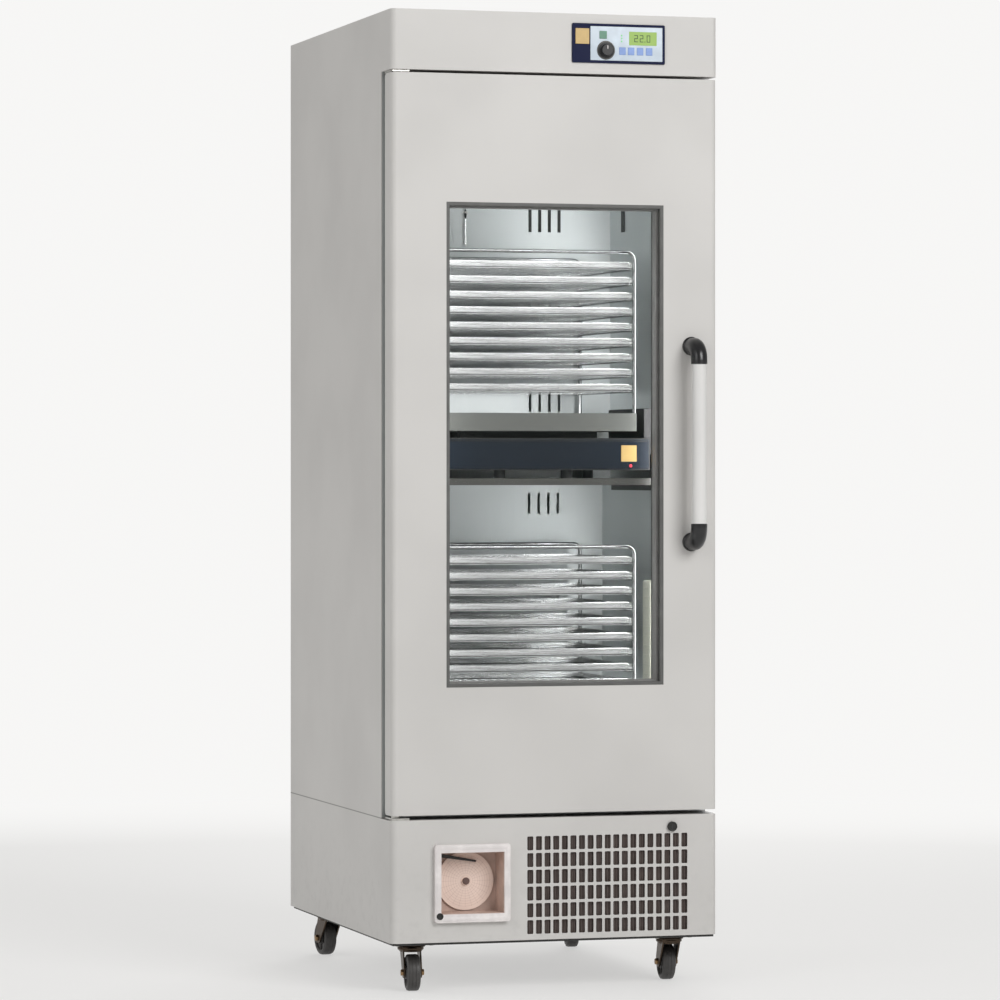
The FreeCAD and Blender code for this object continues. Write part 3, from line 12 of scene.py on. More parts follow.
import bmesh
import bpy
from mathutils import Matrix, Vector


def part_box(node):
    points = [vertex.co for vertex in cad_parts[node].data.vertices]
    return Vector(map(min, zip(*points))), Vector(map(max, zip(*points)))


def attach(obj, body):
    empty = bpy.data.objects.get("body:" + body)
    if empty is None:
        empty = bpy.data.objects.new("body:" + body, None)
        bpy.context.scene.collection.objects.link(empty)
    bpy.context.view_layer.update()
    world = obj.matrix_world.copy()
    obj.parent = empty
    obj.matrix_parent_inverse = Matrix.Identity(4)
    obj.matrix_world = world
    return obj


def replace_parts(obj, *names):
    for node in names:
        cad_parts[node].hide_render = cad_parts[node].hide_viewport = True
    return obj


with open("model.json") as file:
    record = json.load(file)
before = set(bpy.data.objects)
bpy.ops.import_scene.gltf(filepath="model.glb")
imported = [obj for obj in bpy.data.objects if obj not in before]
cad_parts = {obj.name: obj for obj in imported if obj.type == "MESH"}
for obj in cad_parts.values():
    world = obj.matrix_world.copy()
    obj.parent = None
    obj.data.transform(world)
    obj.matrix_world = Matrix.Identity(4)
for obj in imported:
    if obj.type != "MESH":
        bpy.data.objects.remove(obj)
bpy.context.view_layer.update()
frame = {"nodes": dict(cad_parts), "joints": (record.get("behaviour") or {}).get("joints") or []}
MM = 0.001
TRAY_COUNT = 9
DECKS = ("upper", "lower")
CORNERS = ("front_left", "front_right", "back_left", "back_right")
TRAYS = [f"tray_{deck}_{level}" for deck in DECKS for level in range(1, TRAY_COUNT + 1)]

# %% [markdown]
# The camera stands where the photographer stood: a long way off to the left, at the height of the
# cabinet's middle, held level. A long lens keeps the cabinet's upright edges parallel, and a small
# upward shift frames it without tilting, which would make the sides lean.

# %% Camera
LENS = 162.4
TURN = 0.288
CAMERA_PLACE = (-2.7381, -9.2316, 1.0674)
CAMERA_SHIFT = -0.030

camera_data = bpy.data.cameras.new("camera")
camera_data.lens = LENS
camera_data.shift_y = CAMERA_SHIFT
camera = bpy.data.objects.new("camera", camera_data)
camera.location = CAMERA_PLACE
camera.rotation_euler = (math.radians(90), 0, -TURN)
bpy.context.scene.collection.objects.link(camera)
bpy.context.scene.camera = camera
bpy.context.scene.view_settings.view_transform = "Standard"
print("camera lens:", LENS, "turn in degrees:", round(math.degrees(TURN), 1))

# %% [markdown]
# Shader maths reads best as sums. A Field wraps one output socket, and adding or multiplying
# Fields puts the Math nodes in for us. A Graph wraps a node tree: its node() method makes any
# node, sets its settings first and then its sockets. A Finish is the Graph of one material. Only
# what really changes over the surface is linked; plain numbers stay on the shader's own sockets.

# %% Shader helpers
class Field:
    """An output socket that can be used in a Python sum."""

    def __init__(self, graph, socket):
        self.graph = graph
        self.socket = socket

    def _math(self, operation, first, second):
        return self.graph.node("ShaderNodeMath", {"operation": operation}, {0: first, 1: second})

    def __add__(self, other):
        return self._math("ADD", self, other)

    def __sub__(self, other):
        return self._math("SUBTRACT", self, other)

    def __rsub__(self, other):
        return self._math("SUBTRACT", other, self)

    def __mul__(self, other):
        return self._math("MULTIPLY", self, other)

    def __gt__(self, other):
        return self._math("GREATER_THAN", self, other)

    def __lt__(self, other):
        return self._math("LESS_THAN", self, other)

    def __pow__(self, other):
        return self._math("POWER", self, other)

    __radd__ = __add__
    __rmul__ = __mul__


class Graph:
    """A node tree whose nodes all come from one method."""

    def __init__(self, tree):
        self.tree = tree

    def node(self, kind, settings=None, sockets=None, output=0):
        made = self.tree.nodes.new(kind)
        for setting, value in (settings or {}).items():
            setattr(made, setting, value)
        for key, value in (sockets or {}).items():
            self.feed(made.inputs[key], value)
        return Field(self, made.outputs[output])

    def feed(self, socket, value):
        if isinstance(value, Field):
            self.tree.links.new(value.socket, socket)
        else:
            socket.default_value = value


class Finish(Graph):
    """A material under one name, with the plain values of its shader."""

    def __init__(self, name, **plain):
        self.material = bpy.data.materials.new(name)
        self.material.use_nodes = True
        super().__init__(self.material.node_tree)
        self.shader = self.tree.nodes["Principled BSDF"]
        for socket, value in plain.items():
            self.set(socket.replace("_", " "), value)

    def set(self, channel, value):
        self.feed(self.shader.inputs[channel], value)

    def place(self, axis=None):
        """Where a point lies on its own piece, so that the pattern moves with it."""
        spot = self.node("ShaderNodeTexCoord", output="Object")
        if axis is None:
            return spot
        return self.node("ShaderNodeSeparateXYZ", sockets={0: spot}, output=axis)

    def noise(self, grain, stretch=(1, 1, 1), detail=2):
        """Smooth random values from 0 to 1 whose spots are about one grain long."""
        scaled = self.node("ShaderNodeMapping", sockets={"Vector": self.place(), "Scale": stretch})
        return self.node(
            "ShaderNodeTexNoise", sockets={"Vector": scaled, "Scale": 1 / grain, "Detail": detail}
        )

    def soften(self, value, low, high):
        """0 below low and 1 above high, with a smooth run between."""
        return self.node(
            "ShaderNodeMapRange", {"interpolation_type": "SMOOTHSTEP"},
            {"Value": value, "From Min": low, "From Max": high},
        )

    def mix(self, factor, one, other):
        """One colour where the factor is 0 and the other where it is 1."""
        return self.node(
            "ShaderNodeMix", {"data_type": "RGBA"}, {0: factor, 6: one, 7: other}, output=2
        )

    def bump(self, height, depth, strength=1):
        sockets = {"Strength": strength, "Distance": depth, "Height": height}
        self.set("Normal", self.node("ShaderNodeBump", sockets=sockets))
        return self


def rgb(red, green, blue):
    return (red, green, blue, 1)


def scaled(colour, share):
    """The same colour, darker by a share."""
    return tuple(channel * share for channel in colour[:3]) + (1,)


print("shader helpers are ready")

# %% [markdown]
# The case, header, base and door are folded sheet steel with a warm grey powder coat. Powder
# coat is never a flat colour: it has a fine orange-peel skin, it is a touch lighter or darker in
# broad patches, and hands and dust dull it near the floor. A dark line of painted shade marks the
# seam over the base, where the gap is in shadow. One function makes all the painted finishes, so
# that panels sprayed together match.

# %% Powder coat
SEAM_SHADE_HALF = 0.5 * MM
SEAM_SHADE_FADE = 1.6 * MM


def powder_coat(name, colour, roughness=0.42, seam_shade_height=None, shine=0.5):
    finish = Finish(name, Specular_IOR_Level=shine)
    patches = finish.soften(finish.noise(0.35), 0.35, 0.7)
    shade = finish.mix(patches, colour, scaled(colour, 0.93))
    low_down = 1 - finish.soften(finish.place("Z"), 0.10, 0.42)
    dust = low_down * finish.soften(finish.noise(0.02, detail=5), 0.45, 0.8) * 0.55
    shade = finish.mix(dust, shade, scaled(colour, 0.86))
    # painted shade: a dark line along the seam over the base, for the shadow in the gap between case and base
    if seam_shade_height is not None:
        offset = finish.place("Z") - seam_shade_height
        away = finish.node("ShaderNodeMath", {"operation": "ABSOLUTE"}, {0: offset})
        near = 1 - finish.soften(away, SEAM_SHADE_HALF, SEAM_SHADE_FADE)
        shade = finish.mix(near * 0.75, shade, rgb(0.10, 0.095, 0.09))
    finish.set("Base Color", shade)
    finish.set("Roughness", roughness + finish.noise(0.05) * 0.12)
    return finish.bump(finish.noise(0.0016, detail=1), 0.00012, 0.35)


WARM_GREY = rgb(0.645, 0.632, 0.612)
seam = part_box("base_tub")[1].z
case_paint_with_seam_shade = powder_coat("case_paint_with_seam_shade", WARM_GREY, seam_shade_height=seam)
panel_paint = powder_coat("panel_paint", WARM_GREY)
lining_white = powder_coat("lining_white", rgb(0.70, 0.70, 0.68), 0.5)
agitator_grey = powder_coat("agitator_grey", rgb(0.040, 0.042, 0.042), 0.5, shine=0.25)
handle_white = powder_coat("handle_white", rgb(0.78, 0.775, 0.76), 0.3)
navy_paint = powder_coat("navy_paint", rgb(0.008, 0.012, 0.048), 0.42, shine=0.12)
fascia_paint = powder_coat("fascia_paint", rgb(0.008, 0.014, 0.024), 0.4, shine=0.2)
chassis_black = powder_coat("chassis_black", rgb(0.035, 0.034, 0.033), 0.5)
print("seam height in mm:", round(seam / MM))

# %% [markdown]
# Inside, nearly everything is stainless steel. Its grain is a set of very long, very thin scratches
# in one direction, so the noise is stretched along that direction; they vary the roughness and
# lift the surface a little. Wire is drawn and polished, so it is brighter and has no grain.

# %% Metals
UPRIGHT_GRAIN = (1, 1, 0.012)
SIDEWAYS_GRAIN = (0.012, 1, 1)
REFLECTION_STREAK_STRETCH = (0.06, 1, 1)
HEM_SHADOW_LOW = 1.3 * MM
HEM_SHADOW_HIGH = 3.4 * MM


def brushed_steel(name, colour, grain, roughness=0.26, metal=0.85, painted_reflection_streaks=0.0):
    """The grain is the stretch of the scratches along X, Y and Z: small is long.

    Streaks are painted dark reflection bands on a folded sheet, and a dark line of painted shadow runs along its
    foot.
    """
    finish = Finish(name, Metallic=metal)
    scratches = finish.noise(0.0012, grain, detail=3)
    broad = finish.noise(0.22)
    shade = finish.mix(scratches * 0.5 + broad * 0.4, colour, scaled(colour, 0.82))
    if painted_reflection_streaks:
        # painted reflection: dark bands across the sheet stand in for the dark surroundings it mirrors
        dark_reflection_bands = finish.soften(finish.noise(0.009, REFLECTION_STREAK_STRETCH, detail=3), 0.42, 0.62)
        shade = finish.mix(dark_reflection_bands * painted_reflection_streaks, shade, rgb(0.12, 0.125, 0.125))
        # painted shadow: a dark line along the foot of the lip, where the shade under the tray's rim falls
        height = finish.place("Z")
        shade = finish.mix((height > HEM_SHADOW_LOW) * (height < HEM_SHADOW_HIGH) * 0.85, shade, rgb(0.05, 0.052, 0.052))
    finish.set("Base Color", shade)
    finish.set("Roughness", roughness + scratches * 0.14 + broad * 0.08)
    return finish.bump(scratches, 0.00004, 0.35)


def polished_metal(name, colour, roughness):
    finish = Finish(name, Metallic=1.0)
    wear = finish.noise(0.012, detail=4)
    finish.set("Base Color", finish.mix(finish.soften(wear, 0.45, 0.8), colour, scaled(colour, 0.75)))
    finish.set("Roughness", roughness + wear * 0.12)
    return finish.bump(finish.noise(0.0015), 0.00003, 0.25)


liner_steel = brushed_steel("liner_steel", rgb(0.66, 0.69, 0.69), UPRIGHT_GRAIN, 0.24)
# painted shade: the duct panel is the liner's stainless steel coloured darker, so that the back wall reads shaded
duct_steel_shaded = brushed_steel("duct_steel_shaded", rgb(0.54, 0.57, 0.57), UPRIGHT_GRAIN, 0.34)
tray_steel_painted_shade = brushed_steel("tray_steel_painted_shade", rgb(0.88, 0.90, 0.90), SIDEWAYS_GRAIN, 0.15, painted_reflection_streaks=0.35)
# painted reflection and shade: the mid shelf's stainless steel is coloured near black for the dark room it
# mirrors
shelf_steel_dark_reflection = brushed_steel("shelf_steel_dark_reflection", rgb(0.10, 0.10, 0.094), SIDEWAYS_GRAIN, 0.4)
bright_wire = polished_metal("bright_wire", rgb(0.86, 0.87, 0.86), 0.10)
plated_steel = polished_metal("plated_steel", rgb(0.58, 0.57, 0.54), 0.24)
bronze_plate = polished_metal("bronze_plate", rgb(0.085, 0.062, 0.045), 0.3)
golden_plate = polished_metal("golden_plate", rgb(0.30, 0.19, 0.10), 0.26)
lock_dark = polished_metal("lock_dark", rgb(0.055, 0.055, 0.053), 0.4)
cast_aluminium = polished_metal("cast_aluminium", rgb(0.56, 0.56, 0.55), 0.38)
print("tray hem in mm:", round((HEM_SHADOW_HIGH - HEM_SHADOW_LOW) / MM, 1))

# %% [markdown]
# Plastics and rubber have no grain, but they aren't perfectly even either: moulded faces have a
# faint pebble texture, and black ones show dust first. The recorder's recess has a warm, peach
# colour on the real cabinet, which sets it off from its white frame.

# %% Plastics and rubber
def moulded(name, colour, roughness=0.4, pebble=0.0009, coat=0.0):
    finish = Finish(name, Coat_Weight=coat)
    shade = finish.noise(0.03, detail=4)
    lighter = tuple(min(1, channel * 1.18 + 0.008) for channel in colour[:3]) + (1,)
    finish.set("Base Color", finish.mix(finish.soften(shade, 0.4, 0.75), colour, lighter))
    finish.set("Roughness", roughness + shade * 0.1)
    return finish.bump(finish.noise(pebble), 0.00005, 0.3)


gloss_black = moulded("gloss_black", rgb(0.006, 0.006, 0.007), 0.24, coat=0.2)
matt_black = moulded("matt_black", rgb(0.020, 0.020, 0.021), 0.5)
knob_black = moulded("knob_black", rgb(0.004, 0.004, 0.0045), 0.38)
window_grey = moulded("window_grey", rgb(0.099, 0.099, 0.095), 0.46)
spacer_grey = moulded("spacer_grey", rgb(0.25, 0.248, 0.24), 0.5)
gasket_rubber = moulded("gasket_rubber", rgb(0.50, 0.50, 0.47), 0.6)
wheel_plastic = moulded("wheel_plastic", rgb(0.050, 0.047, 0.045), 0.42)
frame_white = moulded("frame_white", rgb(0.76, 0.72, 0.71), 0.35)
recess_peach = moulded("recess_peach", rgb(0.56, 0.42, 0.36), 0.5)
key_blue = moulded("key_blue", rgb(0.20, 0.31, 0.62), 0.35)
key_green = moulded("key_green", rgb(0.10, 0.25, 0.17), 0.35)
face_pale = moulded("face_pale", rgb(0.50, 0.58, 0.66), 0.3, coat=0.3)
foam_cream = moulded("foam_cream", rgb(0.66, 0.60, 0.44), 0.85, pebble=0.004)
gold_tile = moulded("gold_tile", rgb(0.58, 0.40, 0.15), 0.35)
filter_foam = moulded("filter_foam", rgb(0.115, 0.090, 0.082), 0.9, pebble=0.0025)
print("plastic finishes are ready")

# %% [markdown]
# Three finishes need a pattern or light of their own. The chart is printed with fine rings and
# spokes, which come from the distance and the angle about its hub. The display and the lamp glow,
# so they have emission. Glass is mostly clear, and a slight green tint shows in its edges.

# %% Chart, display, lamp and glass
RING_PITCH = 2.6 * MM
SPOKE_TURN = math.pi / 24
PRINT_INNER = 16 * MM
PRINT_OUTER = 54 * MM
LINE_FADE = (0.1 * MM, 0.5 * MM)


def chart_paper():
    low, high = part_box("chart_disc")
    middle = (low + high) / 2
    finish = Finish("chart_paper", Roughness=0.6)
    across = finish.place("X") - middle.x
    up = finish.place("Z") - middle.z
    distance = (across * across + up * up) ** 0.5
    turn = finish.node("ShaderNodeMath", {"operation": "ARCTAN2"}, {0: up, 1: across})
    ring = finish.node("ShaderNodeMath", {"operation": "PINGPONG"}, {0: distance, 1: RING_PITCH})
    spoke = finish.node("ShaderNodeMath", {"operation": "PINGPONG"}, {0: turn, 1: SPOKE_TURN})
    lines = 1 - finish.soften(ring, *LINE_FADE)
    rays = (1 - finish.soften(spoke * distance, *LINE_FADE)) * (distance > PRINT_INNER)
    print_mask = (lines + rays) * (distance < PRINT_OUTER) * 0.35
    paper = finish.mix(finish.noise(0.02), rgb(0.94, 0.77, 0.68), rgb(0.90, 0.73, 0.64))
    finish.set("Base Color", finish.mix(print_mask, paper, rgb(0.38, 0.22, 0.18)))
    return finish.bump(finish.noise(0.0008), 0.00003, 0.3)


def glowing(name, colour, strength, roughness=0.35):
    finish = Finish(name, Emission_Strength=strength)
    shade = finish.mix(finish.noise(0.015), colour, scaled(colour, 0.9))
    finish.set("Base Color", shade)
    finish.set("Emission Color", shade)
    finish.set("Roughness", roughness + finish.noise(0.02) * 0.05)
    return finish


def clear_glass():
    finish = Finish("clear_glass", IOR=1.5, Metallic=0.0)
    smear = finish.soften(finish.noise(0.16, detail=5), 0.5, 0.85)
    finish.set("Base Color", finish.mix(smear, rgb(0.10, 0.13, 0.12), rgb(0.24, 0.27, 0.26)))
    finish.set("Roughness", 0.02 + smear * 0.03)
    finish.set("Alpha", 0.012 + smear * 0.010)
    return finish


chart_print = chart_paper()
display_green = glowing("display_green", rgb(0.26, 0.42, 0.07), 0.2)
digit_dark = moulded("digit_dark", rgb(0.03, 0.06, 0.015), 0.4)
lamp_glow = glowing("lamp_glow", rgb(0.60, 0.61, 0.52), 0.22)
red_light = glowing("red_light", rgb(0.75, 0.05, 0.08), 0.8)
green_light = glowing("green_light", rgb(0.20, 0.60, 0.25), 0.3)
window_glass = clear_glass()
print("chart rings:", round(PRINT_OUTER / RING_PITCH / 2))

# %% [markdown]
# A folded rack has two finishes in one solid: the platform is painted grey, and the rods and
# runners over it are steel, coloured darker with painted dark reflection. The height of a point
# tells them apart, so one mask drives the colour, the metal and the roughness together.

# %% Rack finish
PLATFORM_HEIGHT = 37.5 * MM


def rack_finish(deck):
    node = f"rack_{deck}"
    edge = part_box(node)[0].z + PLATFORM_HEIGHT
    finish = Finish(f"rack_steel_{deck}")
    rods = finish.soften(finish.place("Z"), edge, edge + 0.5 * MM)
    wear = finish.noise(0.012, detail=4)
    painted = finish.mix(wear, rgb(0.150, 0.158, 0.146), rgb(0.126, 0.132, 0.122))
    # painted reflection: the rods' steel is coloured dark for the dark surroundings it mirrors
    rod_steel_painted_reflection = finish.mix(wear, rgb(0.40, 0.41, 0.41), rgb(0.22, 0.23, 0.23))
    finish.set("Base Color", finish.mix(rods, painted, rod_steel_painted_reflection))
    finish.set("Metallic", rods * 0.98)
    finish.set("Roughness", 0.42 - rods * 0.30 + wear * 0.1)
    return finish.bump(finish.noise(0.0016), 0.00005, 0.3)


rack_finishes = {deck: rack_finish(deck) for deck in DECKS}
print("rack finishes:", len(rack_finishes))

# %% [markdown]
# Every node of the solid model that stays in sight gets its finish in its own material slot.
# The solid itself isn't touched.

# %% Dress the solid nodes
def dress(finish, *nodes):
    for name in nodes:
        solid = frame["nodes"][name]
        if not solid.material_slots:
            solid.data.materials.append(finish.material)
        for holder in solid.material_slots:
            holder.material = finish.material


dress(case_paint_with_seam_shade, "outer_case", "base_tub")
dress(panel_paint, "header_cover", "base_front", "door_shell")
dress(handle_white, "handle_bar")
dress(lining_white, "door_lining")
dress(foam_cream, "foam_insulation")
dress(liner_steel, "inner_liner")
dress(duct_steel_shaded, "duct_panel")
dress(shelf_steel_dark_reflection, "mid_shelf")
dress(tray_steel_painted_shade, *TRAYS)
dress(plated_steel, "crank_upper", "crank_lower", "hinge_brackets")
dress(lock_dark, "panel_lock")
dress(agitator_grey, "agitator_bases")
dress(cast_aluminium, "agitator_motors", "evaporator", "condensing_unit")
dress(matt_black, "evaporator_fan", "condenser_fan", "pen_arm")
dress(navy_paint, "control_bezel")
dress(gloss_black, "handle_elbows")
dress(knob_black, "control_knob")
dress(window_grey, "window_frame")
dress(window_glass, "window_glass")
dress(gasket_rubber, "door_gasket")
dress(frame_white, "recorder_case")
dress(chart_print, "chart_disc")
dress(lamp_glow, "lamp_strip")
dress(chassis_black, "chassis_rails")
for deck in DECKS:
    dress(rack_finishes[deck], f"rack_{deck}")
for corner in CORNERS:
    dress(bronze_plate, f"caster_fork_{corner}")
    dress(wheel_plastic, f"caster_wheel_{corner}")
print("dressed nodes:", len(frame["nodes"]))

# %% [markdown]
# The new pieces are made with a few small tools. Each one fills a mesh with points worked out
# from named sizes, and add_piece() hands it over: it rides on a body and takes a finish.

# %% Tools for making pieces
SHARP_ANGLE = math.radians(35)
BEVEL_ANGLE = math.radians(30)
POINT = 0.01 * MM


def mesh_of(name, shape, finish, smooth=True):
    """Turns a bmesh into a mesh with one finish, smooth but for its sharp edges."""
    mesh = bpy.data.meshes.new(name)
    shape.to_mesh(mesh)
    shape.free()
    mesh.materials.append(finish.material)
    if smooth:
        for face in mesh.polygons:
            face.use_smooth = True
        mesh.set_sharp_from_angle(angle=SHARP_ANGLE)
    return mesh


def add_piece(name, body, finish, shape, at=(0, 0, 0), smooth=True, bevel=0, steps=3):
    """Makes a piece of the object from a bmesh, or places a mesh that exists already."""
    mesh = shape
    if isinstance(shape, bmesh.types.BMesh):
        bmesh.ops.recalc_face_normals(shape, faces=shape.faces)
        mesh = mesh_of(name, shape, finish, smooth)
    piece = bpy.data.objects.new(name, mesh)
    bpy.context.scene.collection.objects.link(piece)
    piece.location = at
    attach(piece, body)
    if bevel:
        edges = piece.modifiers.new("soft_edges", "BEVEL")
        edges.width = bevel
        edges.segments = steps
        edges.limit_method = "ANGLE"
        edges.angle_limit = BEVEL_ANGLE
    return piece


def block_into(shape, low, high):
    """A box between two corners."""
    x, y, z = zip(low, high)
    corners = [shape.verts.new((x[i], y[j], z[k])) for i in (0, 1) for j in (0, 1) for k in (0, 1)]
    for face in ((0, 1, 3, 2), (4, 6, 7, 5), (0, 4, 5, 1), (2, 3, 7, 6), (0, 2, 6, 4), (1, 5, 7, 3)):
        shape.faces.new([corners[number] for number in face])


def block(low, high):
    shape = bmesh.new()
    block_into(shape, low, high)
    return shape


def loft_into(shape, rings, closed=False):
    """Joins rings of points, each ring a closed loop, into one skin."""
    made = [[shape.verts.new(point) for point in ring] for ring in rings]
    pairs = list(zip(made, made[1:]))
    if closed:
        pairs.append((made[-1], made[0]))
    for one, other in pairs:
        for number in range(len(one)):
            after = (number + 1) % len(one)
            shape.faces.new((one[number], one[after], other[after], other[number]))
    if not closed:
        shape.faces.new(made[0])
        shape.faces.new(made[-1])


def circle(radius, sides):
    step = 2 * math.pi / sides
    return [(radius * math.cos(step * n), radius * math.sin(step * n)) for n in range(sides)]


def along(axis, across, up, reach):
    """A point from its place across, up and along an axis."""
    return {"Y": (across, reach, up), "Z": (across, up, reach)}[axis]


def lathe_into(shape, centre, axis, profile, sides):
    """Turns (radius, reach) pairs about an axis through the centre."""
    centre = Vector(centre)
    rings = []
    for radius, reach in profile:
        rings.append([
            centre + Vector(along(axis, a, b, reach)) for a, b in circle(max(radius, POINT), sides)
        ])
    loft_into(shape, rings)


def lathe(centre, axis, profile, sides):
    shape = bmesh.new()
    lathe_into(shape, centre, axis, profile, sides)
    return shape


def border(x, z, y, profile):
    """A picture frame in the XZ plane: each profile pair is (distance inwards, distance back)."""
    shape = bmesh.new()
    rings = []
    for sx, sz in ((0, 0), (1, 0), (1, 1), (0, 1)):
        rings.append([
            (x[sx] + inwards * (1 - 2 * sx), y + backwards, z[sz] + inwards * (1 - 2 * sz))
            for inwards, backwards in profile
        ])
    loft_into(shape, rings, closed=True)
    return shape


def rounded_path(points, radius, steps=6):
    """The same path with each inner corner turned into an arc."""
    points = [Vector(point) for point in points]
    path = [points[0]]
    for before, corner, after in zip(points, points[1:], points[2:]):
        back = (before - corner).normalized()
        ahead = (after - corner).normalized()
        half = back.angle(ahead) / 2
        run = radius / math.tan(half)
        middle = corner + (back + ahead).normalized() * (radius / math.sin(half))
        start = corner + back * run - middle
        end = corner + ahead * run - middle
        sweep = start.angle(end)
        for number in range(steps + 1):
            share = number / steps
            spot = (start * math.sin(sweep * (1 - share)) + end * math.sin(sweep * share)) / math.sin(sweep)
            path.append(middle + spot)
    path.append(points[-1])
    return path


def wire_into(shape, path, radius, sides=10):
    """A round wire along a path, with domed ends."""
    rings = []
    normal = None
    for number, point in enumerate(path):
        ahead = path[min(number + 1, len(path) - 1)] - path[max(number - 1, 0)]
        ahead.normalize()
        if normal is None:
            normal = ahead.orthogonal().normalized()
        normal = (normal - ahead * normal.dot(ahead)).normalized()
        side = ahead.cross(normal)
        ring = [point + normal * a + side * b for a, b in circle(radius, sides)]
        if number in (0, len(path) - 1):
            outwards = -ahead if number == 0 else ahead
            dome = [point + outwards * radius * 0.6 + (spot - point) * 0.6 for spot in ring]
            rings += [dome, ring] if number == 0 else [ring, dome]
        else:
            rings.append(ring)
    loft_into(shape, rings)


print("piece tools are ready")

# %% [markdown]
# A platelet tray is a shallow pan of thin steel. Its floor is punched all over so that air
# reaches the bags from below, its edges are folded up, and a bright rod runs round its front.
# The holes could be painted on with an alpha mask, but they are real here: seen against the
# lit back wall, a punched floor glitters in a way that a mask doesn't. All trays share one mesh.

# %% Perforated trays
HOLE_COLUMNS = 20
HOLE_ROWS = 15
HOLE_SHARE = 0.62
CHAMFER_SHARE = 0.3
TRAY_LIP = 14 * MM
TRAY_SHEET = 1.1 * MM
FLOOR_MARGIN = 9 * MM
RIM_RADIUS = 2.5 * MM
RIM_RETURN = 46 * MM
RIM_BEND = 9 * MM


def cell_into(shape, outer):
    """One cell of a punched sheet: eight faces between the cell's four corners and its hole."""
    middle = sum((corner.co for corner in outer), Vector()) / 4
    right = (outer[0].co + outer[1].co) / 2 - middle
    up = (outer[1].co + outer[2].co) / 2 - middle
    wide, narrow = HOLE_SHARE, HOLE_SHARE * (1 - CHAMFER_SHARE)
    hole = [
        (narrow, -wide), (wide, -narrow), (wide, narrow), (narrow, wide),
        (-narrow, wide), (-wide, narrow), (-wide, -narrow), (-narrow, -wide),
    ]
    inner = [shape.verts.new(middle + right * a + up * b) for a, b in hole]
    for number in range(4):
        first, second = inner[number * 2], inner[number * 2 + 1]
        shape.faces.new((outer[number], second, first))
        third = inner[(number * 2 + 2) % 8]
        shape.faces.new((outer[number], outer[(number + 1) % 4], third, second))


def floor_lines(span, cells):
    """Where the lines between the cells lie, with the plain margin at both ends."""
    half = span / 2
    lines = [-half + FLOOR_MARGIN + (span - 2 * FLOOR_MARGIN) * n / cells for n in range(cells + 1)]
    return [-half] + lines + [half]


def tray_mesh(name, width, depth):
    """The pan stands on its own origin, which is the middle of its floor."""
    shape = bmesh.new()
    half_x, half_y = width / 2, depth / 2
    xs = floor_lines(width, HOLE_COLUMNS)
    ys = floor_lines(depth, HOLE_ROWS)
    spots = {(x, y): shape.verts.new((x, y, 0)) for x in xs for y in ys}
    for i, (x0, x1) in enumerate(zip(xs, xs[1:])):
        for j, (y0, y1) in enumerate(zip(ys, ys[1:])):
            if 0 < i < HOLE_COLUMNS + 1 and 0 < j < HOLE_ROWS + 1:
                cell_into(shape, [spots[key] for key in ((x1, y0), (x1, y1), (x0, y1), (x0, y0))])
            else:
                shape.faces.new([spots[key] for key in ((x0, y0), (x1, y0), (x1, y1), (x0, y1))])
    edge = [(x, ys[0]) for x in xs] + [(xs[-1], y) for y in ys[1:]]
    edge += [(x, ys[-1]) for x in reversed(xs[:-1])] + [(xs[0], y) for y in reversed(ys[1:-1])]
    top = [shape.verts.new((x, y, TRAY_LIP)) for x, y in edge]
    for number in range(len(edge)):
        after = (number + 1) % len(edge)
        shape.faces.new((spots[edge[number]], spots[edge[after]], top[after], top[number]))
    bmesh.ops.recalc_face_normals(shape, faces=shape.faces)
    bmesh.ops.solidify(shape, geom=shape.faces[:], thickness=TRAY_SHEET)
    front_y = -half_y + RIM_RADIUS
    side_x = half_x - RIM_RADIUS
    path = rounded_path([
        (-side_x, front_y + RIM_RETURN, TRAY_LIP), (-side_x, front_y, TRAY_LIP),
        (side_x, front_y, TRAY_LIP), (side_x, front_y + RIM_RETURN, TRAY_LIP),
    ], RIM_BEND)
    wire_into(shape, path, RIM_RADIUS)
    return mesh_of(name, shape, tray_steel_painted_shade)


tray_low, tray_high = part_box(TRAYS[0])
shared_tray = tray_mesh("perforated_pan", tray_high.x - tray_low.x, tray_high.y - tray_low.y)
for name in TRAYS:
    low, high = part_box(name)
    at = ((low.x + high.x) / 2, (low.y + high.y) / 2, low.z)
    pan = add_piece(f"pan_{name}", name, tray_steel_painted_shade, shared_tray, at=at)
    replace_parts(pan, name)
print("trays:", len(TRAYS), "faces in one:", len(shared_tray.polygons))

# %% [markdown]
# Each agitator shows a navy front plate under its grey platform. A plain square tile of gold
# sits at its right, a thin dark strip of painted shade runs along its top for the shadowed gap
# above it, and a small red light is under the tile.

# %% Agitator front plates
DECK_HEIGHT = 84 * MM
FOOT_HEIGHT = 17 * MM
PLATE_THICKNESS = 2.5 * MM
PLATE_MARGIN = 3 * MM
SUNK = 0.2 * MM
GAP_SHADE_PROUD = 0.8 * MM
GAP_SHADE_LOW = 4 * MM
GAP_SHADE_HIGH = 2.4 * MM
TILE_LEFT = 184 * MM
TILE_WIDTH = 34 * MM
TILE_DROP = 12 * MM
TILE_PROUD = 1 * MM
LIGHT_RADIUS = 3.4 * MM
LIGHT_RISE = 6 * MM
LIGHT_SHARE = 0.62
LIGHT_DOME = [(LIGHT_RADIUS, SUNK), (LIGHT_RADIUS, -0.6 * MM), (LIGHT_RADIUS * 0.7, -1.8 * MM), (0, -2.2 * MM)]

